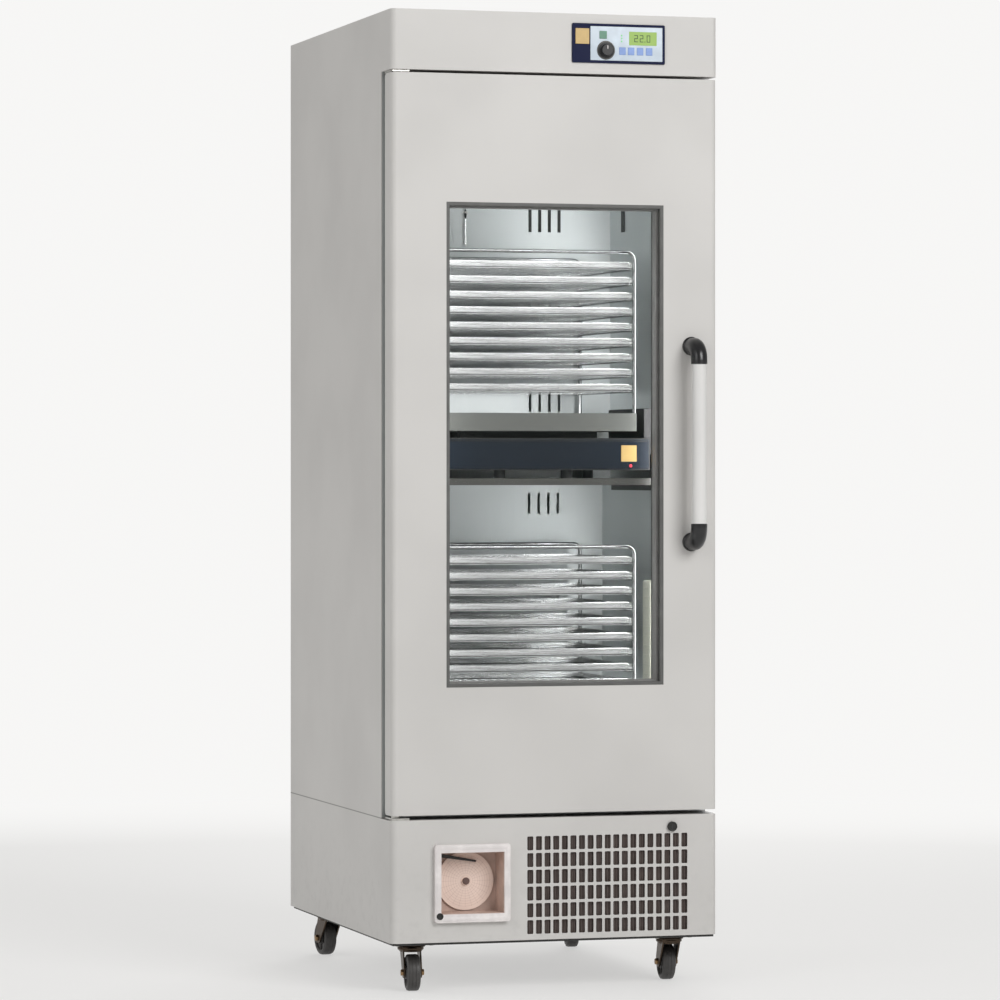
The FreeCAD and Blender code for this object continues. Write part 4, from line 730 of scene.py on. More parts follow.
base_low, base_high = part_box("agitator_bases")
plate_half = abs(base_low.x) - PLATE_MARGIN
gap_shade_half = plate_half - PLATE_MARGIN
plate_front = base_low.y - PLATE_THICKNESS
floor_heights = {"upper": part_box("mid_shelf")[1].z, "lower": base_low.z}
for deck, ground in floor_heights.items():
    low_z = ground + FOOT_HEIGHT + PLATE_MARGIN
    high_z = ground + DECK_HEIGHT - PLATE_MARGIN
    tile_top = high_z - TILE_DROP
    add_piece(f"front_plate_{deck}", "cabinet", fascia_paint, block(
        (-plate_half, plate_front, low_z), (plate_half, base_low.y, high_z),
    ), bevel=1 * MM)
    # painted shade: a thin dark strip on the plate's top edge for the shadow in the gap above it
    add_piece(f"plate_gap_shade_{deck}", "cabinet", lock_dark, block(
        (-gap_shade_half, plate_front - GAP_SHADE_PROUD, high_z - GAP_SHADE_LOW),
        (gap_shade_half, plate_front + SUNK, high_z - GAP_SHADE_HIGH),
    ), bevel=0.3 * MM, steps=2)
    add_piece(f"plate_tile_{deck}", "cabinet", gold_tile, block(
        (TILE_LEFT, plate_front - TILE_PROUD, tile_top - TILE_WIDTH),
        (TILE_LEFT + TILE_WIDTH, plate_front + SUNK, tile_top),
    ), bevel=0.6 * MM)
    add_piece(f"run_light_{deck}", "cabinet", red_light, lathe(
        (TILE_LEFT + TILE_WIDTH * LIGHT_SHARE, plate_front, low_z + LIGHT_RISE), "Y", LIGHT_DOME, 20,
    ))
print("front plates:", len(floor_heights))

# %% [markdown]
# The end block beside each rack gets a folded black cover with soft edges, a skin slightly larger
# than the block. On the wall next to it, a black plate is painted shadow: the shade the block casts on the steel.

# %% End covers
COVER_WALL = 0.6 * MM
COVER_WIDTH = 27.4 * MM
COVER_LIFT = 0.2 * MM
COVER_FRONT = 25 * MM
COVER_BACK = 265 * MM
COVER_RISE = 62 * MM
WALL_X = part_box("lamp_strip")[1].x
SHADOW_PLATE_THICKNESS = 2 * MM
SHADOW_PLATE_SETBACK = -66 * MM
SHADOW_PLATE_DEPTH = 402 * MM
shadow_plate_front = base_low.y + SHADOW_PLATE_SETBACK
for deck, ground in floor_heights.items():
    deck_z = ground + DECK_HEIGHT
    add_piece(f"end_cover_{deck}", "cabinet", matt_black, block(
        (base_high.x - COVER_WIDTH, base_low.y + COVER_FRONT - COVER_WALL, deck_z + COVER_LIFT),
        (base_high.x + COVER_WALL, base_low.y + COVER_BACK + COVER_WALL, deck_z + COVER_RISE + COVER_WALL),
    ), bevel=1.4 * MM)
    # painted shadow: a black plate on the wall for the shade beside the end block
    add_piece(f"wall_shadow_plate_{deck}", "cabinet", matt_black, block(
        (WALL_X - SHADOW_PLATE_THICKNESS, shadow_plate_front, ground + FOOT_HEIGHT),
        (WALL_X, shadow_plate_front + SHADOW_PLATE_DEPTH, deck_z + COVER_RISE),
    ), bevel=0.5 * MM, steps=2)
print("end covers:", len(floor_heights))

# %% [markdown]
# The chamber has a lamp on its right wall. Its solid strip is a flat channel, and a pale ribbed
# diffuser clips over it: a long tray with soft edges and a fine groove every two centimetres.
# The wall has one upright air slot above it, drawn as a black plate of painted shade, a temperature
# probe hangs at the back, and black strips of painted shade make the back panel's top slots as long
# as they are on the real cabinet.

# %% Chamber lamp
lamp_low, lamp_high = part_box("lamp_strip")
DIFFUSER_REACH = 16 * MM
DIFFUSER_MARGIN = 4 * MM
DIFFUSER_ROUND = 4 * MM
GROOVE_PITCH = 20 * MM
GROOVE_DEPTH = 0.8 * MM


def diffuser_section(height, sunk):
    """The diffuser seen from above: flat on the wall, with its front corners rounded."""
    near, far = lamp_low.y - DIFFUSER_MARGIN + sunk, lamp_high.y + DIFFUSER_MARGIN - sunk
    front_x = lamp_high.x - DIFFUSER_REACH + sunk
    inset = DIFFUSER_ROUND * (1 - math.sqrt(0.5))
    return [
        (lamp_high.x, near, height), (front_x + DIFFUSER_ROUND, near, height),
        (front_x + inset, near + inset, height), (front_x, near + DIFFUSER_ROUND, height),
        (front_x, far - DIFFUSER_ROUND, height), (front_x + inset, far - inset, height),
        (front_x + DIFFUSER_ROUND, far, height), (lamp_high.x, far, height),
    ]


sections = [diffuser_section(lamp_low.z - DIFFUSER_MARGIN, DIFFUSER_ROUND / 2)]
height = lamp_low.z
while height < lamp_high.z:
    sections += [
        diffuser_section(height, GROOVE_DEPTH), diffuser_section(height + GROOVE_DEPTH, 0),
        diffuser_section(min(height + GROOVE_PITCH - GROOVE_DEPTH, lamp_high.z), 0),
    ]
    height += GROOVE_PITCH
sections.append(diffuser_section(lamp_high.z + DIFFUSER_MARGIN, DIFFUSER_ROUND / 2))
diffuser_shape = bmesh.new()
loft_into(diffuser_shape, sections)
add_piece("lamp_diffuser", "cabinet", lamp_glow, diffuser_shape)

PROBE_PLACE = (-40 * MM, 1.611)
PROBE_RADIUS = 2.4 * MM
PROBE_LENGTH = 19 * MM
PROBE_TUBE = 58 * MM
CLIP_SHARES = (0.6, 0.8)
probe_x, probe_z = PROBE_PLACE
probe_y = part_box("duct_panel")[0].y
add_piece("air_probe", "cabinet", matt_black, lathe(
    (probe_x, probe_y - PROBE_RADIUS * 2, probe_z), "Z",
    [(0, 0), (PROBE_RADIUS * 0.8, PROBE_RADIUS), (PROBE_RADIUS, PROBE_LENGTH / 2),
     (PROBE_RADIUS * 0.7, PROBE_LENGTH), (0, PROBE_LENGTH + PROBE_RADIUS / 2)], 16,
))
add_piece("probe_clip", "cabinet", plated_steel, block(
    (probe_x - PROBE_RADIUS * 2, probe_y - PROBE_RADIUS * 3.2, probe_z + PROBE_LENGTH * CLIP_SHARES[0]),
    (probe_x + PROBE_RADIUS * 2, probe_y, probe_z + PROBE_LENGTH * CLIP_SHARES[1]),
), bevel=0.6 * MM)
add_piece("probe_tube", "cabinet", bright_wire, lathe(
    (probe_x, probe_y - PROBE_RADIUS * 2, probe_z - PROBE_TUBE), "Z",
    [(0, 0), (PROBE_RADIUS, PROBE_RADIUS), (PROBE_RADIUS, PROBE_TUBE - 1 * MM), (0, PROBE_TUBE)], 20,
))

# painted shade: black strips on the back panel carry the dark of its top slots further down
SLOT_SHADE_X = (107 * MM, 129 * MM, 151 * MM, 173 * MM)
SLOT_SHADE_Z = (1.584, 1.647)
SLOT_SHADE_HALF = 3.5 * MM
SLOT_SHADE_LIP = ((0, 0.1 * MM), (0, 0.8 * MM), (1.2 * MM, 0.8 * MM), (1.6 * MM, 0.3 * MM))
slot_shade_strips = bmesh.new()
for centre in [x * side for side in (-1, 1) for x in SLOT_SHADE_X]:
    slot_shade_rings = []
    for inwards, reach in SLOT_SHADE_LIP:
        left, right = centre - SLOT_SHADE_HALF + inwards, centre + SLOT_SHADE_HALF - inwards
        bottom, top = SLOT_SHADE_Z[0] + inwards, SLOT_SHADE_Z[1] - inwards
        corners = ((left, bottom), (right, bottom), (right, top), (left, top))
        slot_shade_rings.append([(x, probe_y - reach, z) for x, z in corners])
    loft_into(slot_shade_strips, slot_shade_rings)
add_piece("slot_shade_strips", "cabinet", matt_black, slot_shade_strips, smooth=False)

# painted shade: a black plate on the wall stands for the dark opening of the air slot
WALL_SLOT_Y = 52 * MM
WALL_SLOT_Z = (1.582, 1.634)
WALL_SLOT_WIDTH = 24 * MM
WALL_SLOT_LIP = 1.2 * MM
add_piece("wall_slot_shade", "cabinet", matt_black, block(
    (WALL_X - WALL_SLOT_LIP, WALL_SLOT_Y - WALL_SLOT_WIDTH / 2, WALL_SLOT_Z[0]),
    (WALL_X - 0.05 * MM, WALL_SLOT_Y + WALL_SLOT_WIDTH / 2, WALL_SLOT_Z[1]),
), bevel=0.5 * MM)
print("lamp length in mm:", round((lamp_high.z - lamp_low.z) / MM))

# %% [markdown]
# The door is sealed by a soft magnetic gasket: a flat foot, a folded bellows and a magnet
# pocket. Its section is swept once round the door, so the corners are mitred as on a welded
# gasket. The window has a bead that holds the panes and a grey spacer between them.

# %% Door gasket and window trim
gasket_low, gasket_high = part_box("door_gasket")
gasket_depth = gasket_high.y - gasket_low.y
GASKET_WIDTH = 20 * MM
BELLOWS = [
    (0.05, 0.0), (0.0, 0.18), (0.12, 0.3), (0.02, 0.42), (0.12, 0.54), (0.02, 0.66), (0.06, 0.98), (0.5, 1.0),
    (0.94, 0.98), (0.98, 0.66), (0.88, 0.54), (0.98, 0.42), (0.88, 0.3), (1.0, 0.18), (0.95, 0.0),
]
gasket = add_piece("door_seal", "door", gasket_rubber, border(
    (gasket_low.x, gasket_high.x), (gasket_low.z, gasket_high.z), gasket_low.y,
    [(inwards * GASKET_WIDTH, backwards * gasket_depth) for inwards, backwards in BELLOWS],
))
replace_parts(gasket, "door_gasket")

frame_low, frame_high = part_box("window_frame")
frame_x = (frame_low.x, frame_high.x)
frame_z = (frame_low.z, frame_high.z)
WINDOW_LIP = 7 * MM
add_piece("window_bead", "door", window_grey, border(frame_x, frame_z, frame_low.y,
    [(0.6 * MM, 0.1 * MM), (1.6 * MM, -0.3 * MM), (5.4 * MM, -0.3 * MM), (WINDOW_LIP, 0.8 * MM),
     (WINDOW_LIP + 0.4 * MM, 4 * MM), (WINDOW_LIP - 0.6 * MM, 4 * MM), (0.6 * MM, 1 * MM)]))
glass_low, glass_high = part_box("window_glass")
PANE = 4 * MM
SPACER = 4 * MM
SPACER_GAP = 0.2 * MM
spacer_depth = glass_high.y - glass_low.y - 2 * (PANE + SPACER_GAP)
add_piece("pane_spacer", "door", spacer_grey, border(
    (frame_low.x + WINDOW_LIP, frame_high.x - WINDOW_LIP),
    (frame_low.z + WINDOW_LIP, frame_high.z - WINDOW_LIP),
    glass_low.y + PANE,
    [(0, SPACER_GAP), (SPACER, SPACER_GAP), (SPACER, spacer_depth - 1 * MM), (SPACER * 0.6, spacer_depth),
     (0, spacer_depth)],
), smooth=False)
add_piece("inner_window_bead", "door", gasket_rubber, border(frame_x, frame_z, frame_high.y,
    [(1 * MM, -0.5 * MM), (1 * MM, 0.4 * MM), (5 * MM, 0.4 * MM), (WINDOW_LIP, -1.5 * MM),
     (WINDOW_LIP, -4 * MM)]))
print("window in mm:", [round((side[1] - side[0]) / MM) for side in (frame_x, frame_z)])

# %% [markdown]
# The handle is a painted tube between two glossy black elbows. Each elbow has a thin collar
# ring where the tube goes in, and a round cover over its screw on the door.

# %% Handle trim
bar_low, bar_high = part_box("handle_bar")
elbow_low, elbow_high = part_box("handle_elbows")
handle_x = (bar_low.x + bar_high.x) / 2
handle_y = (bar_low.y + bar_high.y) / 2
ELBOW_RADIUS = 17 * MM
GRIP_HOLD = 5 * MM
door_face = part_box("door_shell")[0].y
for end, height, sign in (("low", bar_low.z + GRIP_HOLD, 1), ("high", bar_high.z - GRIP_HOLD, -1)):
    add_piece(f"handle_ring_{end}", "door", gloss_black, lathe(
        (handle_x, handle_y, height), "Z",
        [(15.1 * MM, -1.2 * MM * sign), (16.9 * MM, -1.2 * MM * sign), (17 * MM, 0.4 * MM * sign),
         (16.2 * MM, 1.6 * MM * sign), (15.1 * MM, 1.8 * MM * sign)], 48,
    ))
    foot_z = (elbow_low.z if sign > 0 else elbow_high.z) + ELBOW_RADIUS * sign
    add_piece(f"handle_foot_{end}", "door", gloss_black, lathe(
        (handle_x, door_face, foot_z), "Y",
        [(19.5 * MM, -0.1 * MM), (19.5 * MM, -2.2 * MM), (18.4 * MM, -4.2 * MM), (17 * MM, -5.2 * MM)], 48,
    ))
print("handle length in mm:", round((elbow_high.z - elbow_low.z) / MM))

# %% [markdown]
# The control panel is a moulded navy bezel with a pale face sheet let into it. On it is what a
# hand would use: a plain gold tile, a green key, a round knob, four blue keys, small lights and a
# green display. The display shows a temperature, drawn with seven bars a digit.

# %% Control panel
bezel_low, bezel_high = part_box("control_bezel")
BORDER = 5.5 * MM
PANEL_SUNK = 0.2 * MM
FACE_LEFT = 73.7 * MM
TILE_X = (41.3 * MM, 71.0 * MM)
TILE_Z = (1.943, 1.975)
GREEN_X = (93 * MM, 109 * MM)
GREEN_Z = (1.9545, 1.9705)
KEY_CENTRES = (142.8 * MM, 161.3 * MM, 180.8 * MM, 200.4 * MM)
KEY_WIDTH = 14 * MM
KEY_Z = (1.9222, 1.9378)
LAMP_X = 141 * MM
LAMP_HEIGHTS = (1.9500, 1.9560, 1.9620)
LAMP_DOME = [(1.7 * MM, 0), (1.7 * MM, -0.5 * MM), (1.0 * MM, -1.1 * MM), (0, -1.3 * MM)]
DISPLAY_X = (157 * MM, 217 * MM)
DISPLAY_Z = (1.9425, 1.9705)


def on_bezel(name, finish, x, z, proud, back, bevel, steps=3):
    """A flat piece on the bezel: how far it stands proud, and where its back lies."""
    add_piece(name, "cabinet", finish, block(
        (x[0], bezel_low.y - proud, z[0]), (x[1], bezel_low.y + back, z[1]),
    ), bevel=bevel, steps=steps)


add_piece("bezel_rim", "cabinet", navy_paint, border(
    (bezel_low.x, bezel_high.x), (bezel_low.z, bezel_high.z), bezel_low.y,
    [(0.5 * MM, 0.6 * MM), (1.2 * MM, -0.7 * MM), (BORDER - 0.8 * MM, -0.7 * MM), (BORDER, 0.4 * MM)],
))
face_x = (FACE_LEFT, bezel_high.x - BORDER)
face_z = (bezel_low.z + BORDER, bezel_high.z - BORDER)
on_bezel("bezel_face", face_pale, face_x, face_z, 0.35 * MM, PANEL_SUNK, 0.25 * MM, 2)
on_bezel("bezel_tile", gold_tile, TILE_X, TILE_Z, 1.1 * MM, PANEL_SUNK, 0.6 * MM)
on_bezel("green_key", key_green, GREEN_X, GREEN_Z, 1.6 * MM, -PANEL_SUNK, 0.8 * MM)
for number, centre in enumerate(KEY_CENTRES, start=1):
    key_x = (centre - KEY_WIDTH / 2, centre + KEY_WIDTH / 2)
    on_bezel(f"panel_key_{number}", key_blue, key_x, KEY_Z, 1.5 * MM, -PANEL_SUNK, 0.9 * MM)
for number, height in enumerate(LAMP_HEIGHTS, start=1):
    add_piece(f"panel_light_{number}", "cabinet", green_light, lathe(
        (LAMP_X, bezel_low.y - 0.3 * MM, height), "Y", LAMP_DOME, 16,
    ))
on_bezel("display_window", display_green, DISPLAY_X, DISPLAY_Z, 0.7 * MM, -PANEL_SUNK, 0.2 * MM, 2)

SEGMENTS = {"2": "abged", "0": "abcdef"}
DIGITS = (("2", 168 * MM), ("2", 180 * MM), ("0", 195 * MM))
DIGITS_LOW = 1.9490
DIGITS_FRONT = bezel_low.y - 1 * MM
DIGIT_DEPTH = 0.4 * MM
DIGIT_WIDTH = 8 * MM
DIGIT_HEIGHT = 15 * MM
DIGIT_GAP = 0.25 * MM
STROKE = 1.9 * MM
POINT_X = (190.3 * MM, 192.1 * MM)
POINT_Z = (1.9492, 1.9510)


def digit_into(shape, mark, left):
    """One digit from its bars; a to f run clockwise from the top, and g is the middle bar."""
    half = DIGIT_HEIGHT / 2
    right = left + DIGIT_WIDTH - STROKE
    bars = {
        "a": (left, DIGIT_HEIGHT - STROKE, True), "g": (left, half - STROKE / 2, True), "d": (left, 0, True),
        "b": (right, half, False), "c": (right, 0, False), "e": (left, 0, False), "f": (left, half, False),
    }
    for bar in SEGMENTS[mark]:
        x, z, flat = bars[bar]
        wide, tall = (DIGIT_WIDTH, STROKE) if flat else (STROKE, half)
        low = DIGITS_LOW + z
        block_into(
            shape, (x + DIGIT_GAP, DIGITS_FRONT, low + DIGIT_GAP),
            (x + wide - DIGIT_GAP, DIGITS_FRONT + DIGIT_DEPTH, low + tall - DIGIT_GAP),
        )


digits = bmesh.new()
for mark, left in DIGITS:
    digit_into(digits, mark, left)
block_into(
    digits, (POINT_X[0], DIGITS_FRONT, POINT_Z[0]), (POINT_X[1], DIGITS_FRONT + DIGIT_DEPTH, POINT_Z[1])
)
add_piece("display_digits", "cabinet", digit_dark, digits, smooth=False)
print("keys:", len(KEY_CENTRES) + 1)

# %% [markdown]
# The knob's solid is a plain drum. A real one is moulded with a ribbed skirt for the fingers,
# a domed cap and a white pointer line, so such a knob replaces it, over a thin grey ring.

# %% Knob
knob_low, knob_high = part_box("control_knob")
knob_x = (knob_low.x + knob_high.x) / 2
knob_z = (knob_low.z + knob_high.z) / 2
KNOB_RADIUS = 16.5 * MM
GREY_RING_RADIUS = 19.5 * MM
KNOB_LENGTH = 13 * MM
KNOB_RIBS = 24
RIB_DEPTH_SHARE = 0.06
POINTER_HALF = 0.8 * MM
KNOB_PROFILE = ((0.97, 0.0), (1.0, 0.08), (1.0, 0.30), (0.80, 0.36), (0.76, 0.92), (0.68, 1.0), (0.05, 1.0))
knob_rings = []
for share, reach in KNOB_PROFILE:
    ring = []
    for number in range(KNOB_RIBS * 4):
        turn = 2 * math.pi * number / (KNOB_RIBS * 4)
        rib = 1 - RIB_DEPTH_SHARE * (0.5 + 0.5 * math.cos(turn * KNOB_RIBS)) * (0.35 < reach < 0.95)
        radius = KNOB_RADIUS * share * rib
        front = knob_low.y + KNOB_LENGTH * (1 - reach)
        ring.append((knob_x + radius * math.cos(turn), front, knob_z + radius * math.sin(turn)))
    knob_rings.append(ring)
knob_shape = bmesh.new()
loft_into(knob_shape, knob_rings)
knob = add_piece("ribbed_knob", "control_knob", knob_black, knob_shape)
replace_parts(knob, "control_knob")
add_piece("knob_pointer", "control_knob", frame_white, block(
    (knob_x - POINTER_HALF, knob_low.y - 0.15 * MM, knob_z + 2 * MM),
    (knob_x + POINTER_HALF, knob_low.y + 0.4 * MM, knob_z + 9 * MM),
))
add_piece("knob_grey_ring", "cabinet", window_grey, lathe(
    (knob_x, bezel_low.y, knob_z), "Y",
    [(GREY_RING_RADIUS, 0.2 * MM), (GREY_RING_RADIUS, -0.7 * MM), (GREY_RING_RADIUS * 0.96, -1 * MM), (0, -1 * MM)], 48,
))
print("knob ribs:", KNOB_RIBS)

# %% [markdown]
# The chart recorder sits behind a raised white frame with soft, rounded edges. Its recess is
# lined in a warm peach colour. The lining is five thin walls just inside the housing, and the
# frame's face gets a rolled lip. The chart's hub has a round nut that holds the paper.

# %% Chart recorder
case_low, case_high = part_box("recorder_case")
FRAME_BORDER = 13 * MM
FRAME_BORDER_LOW = 17 * MM
RECESS_BACK = 52 * MM
frame_face = case_low.y + 2 * MM
recess_x = (case_low.x + FRAME_BORDER, case_high.x - FRAME_BORDER)
recess_z = (case_low.z + FRAME_BORDER_LOW, case_high.z - FRAME_BORDER_LOW)
recess_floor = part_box("base_front")[0].y + RECESS_BACK
lining = bmesh.new()
LINING = 0.8 * MM
mouth = frame_face + 4 * MM
near_corner = (recess_x[0], mouth, recess_z[0])
far_corner = (recess_x[1], recess_floor, recess_z[1])
for low, high in (
    (near_corner, (recess_x[0] + LINING, recess_floor, recess_z[1])),
    ((recess_x[1] - LINING, mouth, recess_z[0]), far_corner),
    (near_corner, (recess_x[1], recess_floor, recess_z[0] + LINING)),
    ((recess_x[0], mouth, recess_z[1] - LINING), far_corner),
    ((recess_x[0], recess_floor - LINING, recess_z[0]), far_corner),
):
    block_into(lining, low, high)
add_piece("recess_lining", "cabinet", recess_peach, lining, smooth=False)
add_piece("recorder_lip", "cabinet", frame_white, border(
    (case_low.x, case_high.x), (case_low.z, case_high.z), frame_face,
    [(2 * MM, 0.3 * MM), (3.5 * MM, -0.9 * MM), (6 * MM, -1.2 * MM), (9 * MM, -0.9 * MM), (11.5 * MM, 0.4 * MM),
     (12.6 * MM, 3 * MM), (12.6 * MM, 4 * MM), (2 * MM, 1.5 * MM)],
))
chart_low, chart_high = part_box("chart_disc")
chart_x = (chart_low.x + chart_high.x) / 2
chart_z = (chart_low.z + chart_high.z) / 2
NUT_PROFILE = (
    (7.4 * MM, 0), (7.4 * MM, -2.2 * MM), (6.6 * MM, -2.8 * MM), (2.5 * MM, -2.9 * MM), (0, -3.0 * MM),
)
hub_brown = moulded("hub_brown", rgb(0.12, 0.07, 0.06), 0.4)
add_piece("chart_nut", "chart_disc", hub_brown, lathe(
    (chart_x, chart_low.y + 0.6 * MM, chart_z), "Y", NUT_PROFILE, 24,
))

pen_low, pen_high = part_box("pen_arm")
add_piece("pen_nib", "pen_arm", matt_black, lathe(
    (pen_high.x - 2.5 * MM, pen_low.y, pen_low.z + 2.2 * MM), "Y",
    [(1.6 * MM, -1.5 * MM), (1.6 * MM, 2.2 * MM), (0.9 * MM, 4.0 * MM), (0.2 * MM, 6 * MM)], 14,
))
add_piece("pen_pivot_cap", "pen_arm", matt_black, lathe(
    (pen_low.x + 5 * MM, pen_low.y, pen_high.z - 5 * MM), "Y",
    [(5.2 * MM, 0.6 * MM), (5.2 * MM, -0.8 * MM), (4.2 * MM, -2 * MM), (0, -2.3 * MM)], 24,
))
print("recess in mm:", [round((side[1] - side[0]) / MM) for side in (recess_x, recess_z)])

# %% [markdown]
# Two small round locks are on the front: one in the base panel and one in the recorder's
# frame. A lock is a dished ring round a cylinder that has a keyhole slot across its face.

# %% Locks
LOCK_RADIUS = 10 * MM
KEY_RADIUS = 7 * MM
RING_PROFILE = ((1.02, 0.2 * MM), (1.02, -0.4 * MM), (0.9, -1 * MM), (0.72, -0.7 * MM), (0.68, -0.2 * MM))
SLOT_SHARES = (0.09, 0.45)


def lock_face(name, body, x, y, z, radius):
    add_piece(f"{name}_ring", body, lock_dark, lathe(
        (x, y, z), "Y", [(radius * share, reach) for share, reach in RING_PROFILE], 32,
    ))
    half_x, half_z = (radius * share for share in SLOT_SHARES)
    add_piece(f"{name}_slot", body, matt_black, block(
        (x - half_x, y - 0.35 * MM, z - half_z), (x + half_x, y + 0.1 * MM, z + half_z),
    ))


lock_low, lock_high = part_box("panel_lock")
lock_x = (lock_low.x + lock_high.x) / 2
lock_face("panel_lock", "panel_lock", lock_x, lock_low.y, lock_high.z - LOCK_RADIUS, LOCK_RADIUS)
key_x = case_low.x + FRAME_BORDER - KEY_RADIUS / 2
key_z = case_low.z + FRAME_BORDER_LOW - KEY_RADIUS / 2
lock_face("recorder_lock", "cabinet", key_x, case_low.y, key_z, KEY_RADIUS)
add_piece("recorder_lock_face", "cabinet", lock_dark, lathe(
    (key_x, case_low.y, key_z), "Y",
    [(KEY_RADIUS * 0.7, 0.3 * MM), (KEY_RADIUS * 0.7, -0.2 * MM), (0, -0.3 * MM)], 24,
))
print("lock radii in mm:", round(LOCK_RADIUS / MM), round(KEY_RADIUS / MM))

# %% [markdown]
# Behind the slots of the base front lies a dust filter: dark brown-grey foam in upright pleats.
# It is what shows through the slots, and it keeps lint off the condenser.

# %% Grille filter
FILTER_X = (-70 * MM, 295 * MM)
FILTER_Z = (110 * MM, 319.5 * MM)
FILTER_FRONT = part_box("base_front")[0].y + 4 * MM
PLEAT_PITCH = 7 * MM
PLEAT_DEPTH = 4 * MM
FILTER_WALL = 1.2 * MM
pleats = round((FILTER_X[1] - FILTER_X[0]) / PLEAT_PITCH)
pleat_step = (FILTER_X[1] - FILTER_X[0]) / (pleats * 2)
filter_rings = []
for number in range(pleats * 2 + 1):
    x = FILTER_X[0] + pleat_step * number
    y = FILTER_FRONT + PLEAT_DEPTH * (number % 2)
    filter_rings.append([
        (x, y, FILTER_Z[0]), (x, y + FILTER_WALL, FILTER_Z[0]),
        (x, y + FILTER_WALL, FILTER_Z[1]), (x, y, FILTER_Z[1]),
    ])
filter_shape = bmesh.new()
loft_into(filter_shape, filter_rings)
add_piece("filter_pleats", "cabinet", filter_foam, filter_shape, smooth=False)
print("filter pleats:", pleats)

# %% [markdown]
# The hinges are pins in flat brackets, above and below the door. The lower bracket is held by
# two screws with domed heads.

# %% Hinge screws
HINGE_X = -332 * MM
HINGE_SETBACK = 22 * MM
SCREW_OFFSETS = (20 * MM, 32 * MM)
SCREW_RADIUS = 3.4 * MM
SCREW_HEIGHT = 1.6 * MM
SCREW_PROFILE = (
    (SCREW_RADIUS, 0), (SCREW_RADIUS, SCREW_HEIGHT * 0.35), (SCREW_RADIUS * 0.8, SCREW_HEIGHT * 0.8),
    (0, SCREW_HEIGHT),
)
hinge_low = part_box("hinge_brackets")[0]
hinge_y = hinge_low.y + HINGE_SETBACK
screws = bmesh.new()
for offset in SCREW_OFFSETS:
    lathe_into(screws, (HINGE_X + 6 * MM, hinge_y + offset, hinge_low.z + 4 * MM), "Z", SCREW_PROFILE, 16)
add_piece("hinge_screws", "cabinet", plated_steel, screws)
print("hinge at:", round(HINGE_X, 3), round(hinge_y, 3))

# %% [markdown]
# Casters carry the most metal detail at floor level. Each gets four plate bolts, a nut on each
# end of its axle, a race ring and a turned swivel head under the plate, and a ribbed wheel with
# a grooved tread that replaces the plain turned wheel.

# %% Casters
PLATE_HALF_X = 36 * MM
PLATE_HALF_Y = 30 * MM
BOLT_RADIUS = 5 * MM
BOLT_HEIGHT = 4 * MM
HEAD_RADIUS = 28 * MM
HEAD_TOP = 92 * MM
SWIVEL_HEAD = (
    (26 * MM, 0), (30 * MM, -1 * MM), (30.5 * MM, -2.5 * MM), (29 * MM, -4 * MM), (25 * MM, -4.6 * MM),
    (27 * MM, -6 * MM), (27 * MM, -9 * MM), (25.5 * MM, -10.4 * MM), (24 * MM, -11 * MM),
    (23 * MM, -13.4 * MM), (18 * MM, -14.4 * MM),
)
HALF_WHEEL = 14 * MM
HEAD_SIDES = 44
RACE_TOP = 93.5 * MM
RACE = (
    (HEAD_RADIUS * 0.98, 0), (HEAD_RADIUS, -1.2 * MM), (HEAD_RADIUS, -3 * MM), (HEAD_RADIUS * 0.9, -4.4 * MM),
    (HEAD_RADIUS * 0.6, -4.6 * MM),
)
BOLT_TOP = 96 * MM
SPOKES = 6
SPOKE_OUTLINE = ((14 * MM, -1.6 * MM), (27 * MM, -1.2 * MM), (27 * MM, 1.2 * MM), (14 * MM, 1.6 * MM))
SPOKE_SHARE = 0.63
SPOKE_RISE = 0.24
NUT_REACH = 19 * MM
NUT_RADIUS = 7 * MM
NUT_HEIGHT = 5 * MM


def hexagon_into(shape, centre, direction, radius, height):
    """A nut or bolt head whose flat face looks along a direction."""
    direction = Vector(direction).normalized()
    first = direction.orthogonal().normalized()
    second = direction.cross(first)
    rings = []
    for share, reach in ((1, 0), (1, 0.75), (0.86, 1)):
        rings.append([
            Vector(centre) + first * a + second * b + direction * height * reach
            for a, b in circle(radius * share, 6)
        ])
    loft_into(shape, rings)


def wheel_rings():
    """The wheel's section from one hub face round its tread to the other, as (radius, reach)."""
    half = [
        (5.2, 1.0), (13.0, 1.0), (14.0, 0.9), (14.5, 0.68), (26.0, 0.64), (27.5, 0.92), (30.5, 1.0), (32.0, 0.99),
        (33.2, 0.93), (36.2, 0.84), (37.2, 0.62), (37.45, 0.45), (37.45, 0.30), (36.9, 0.26), (37.45, 0.22),
    ]
    profile = [(radius * MM, -reach * HALF_WHEEL) for radius, reach in half]
    return profile + [(radius * MM, reach * HALF_WHEEL) for radius, reach in reversed(half)]


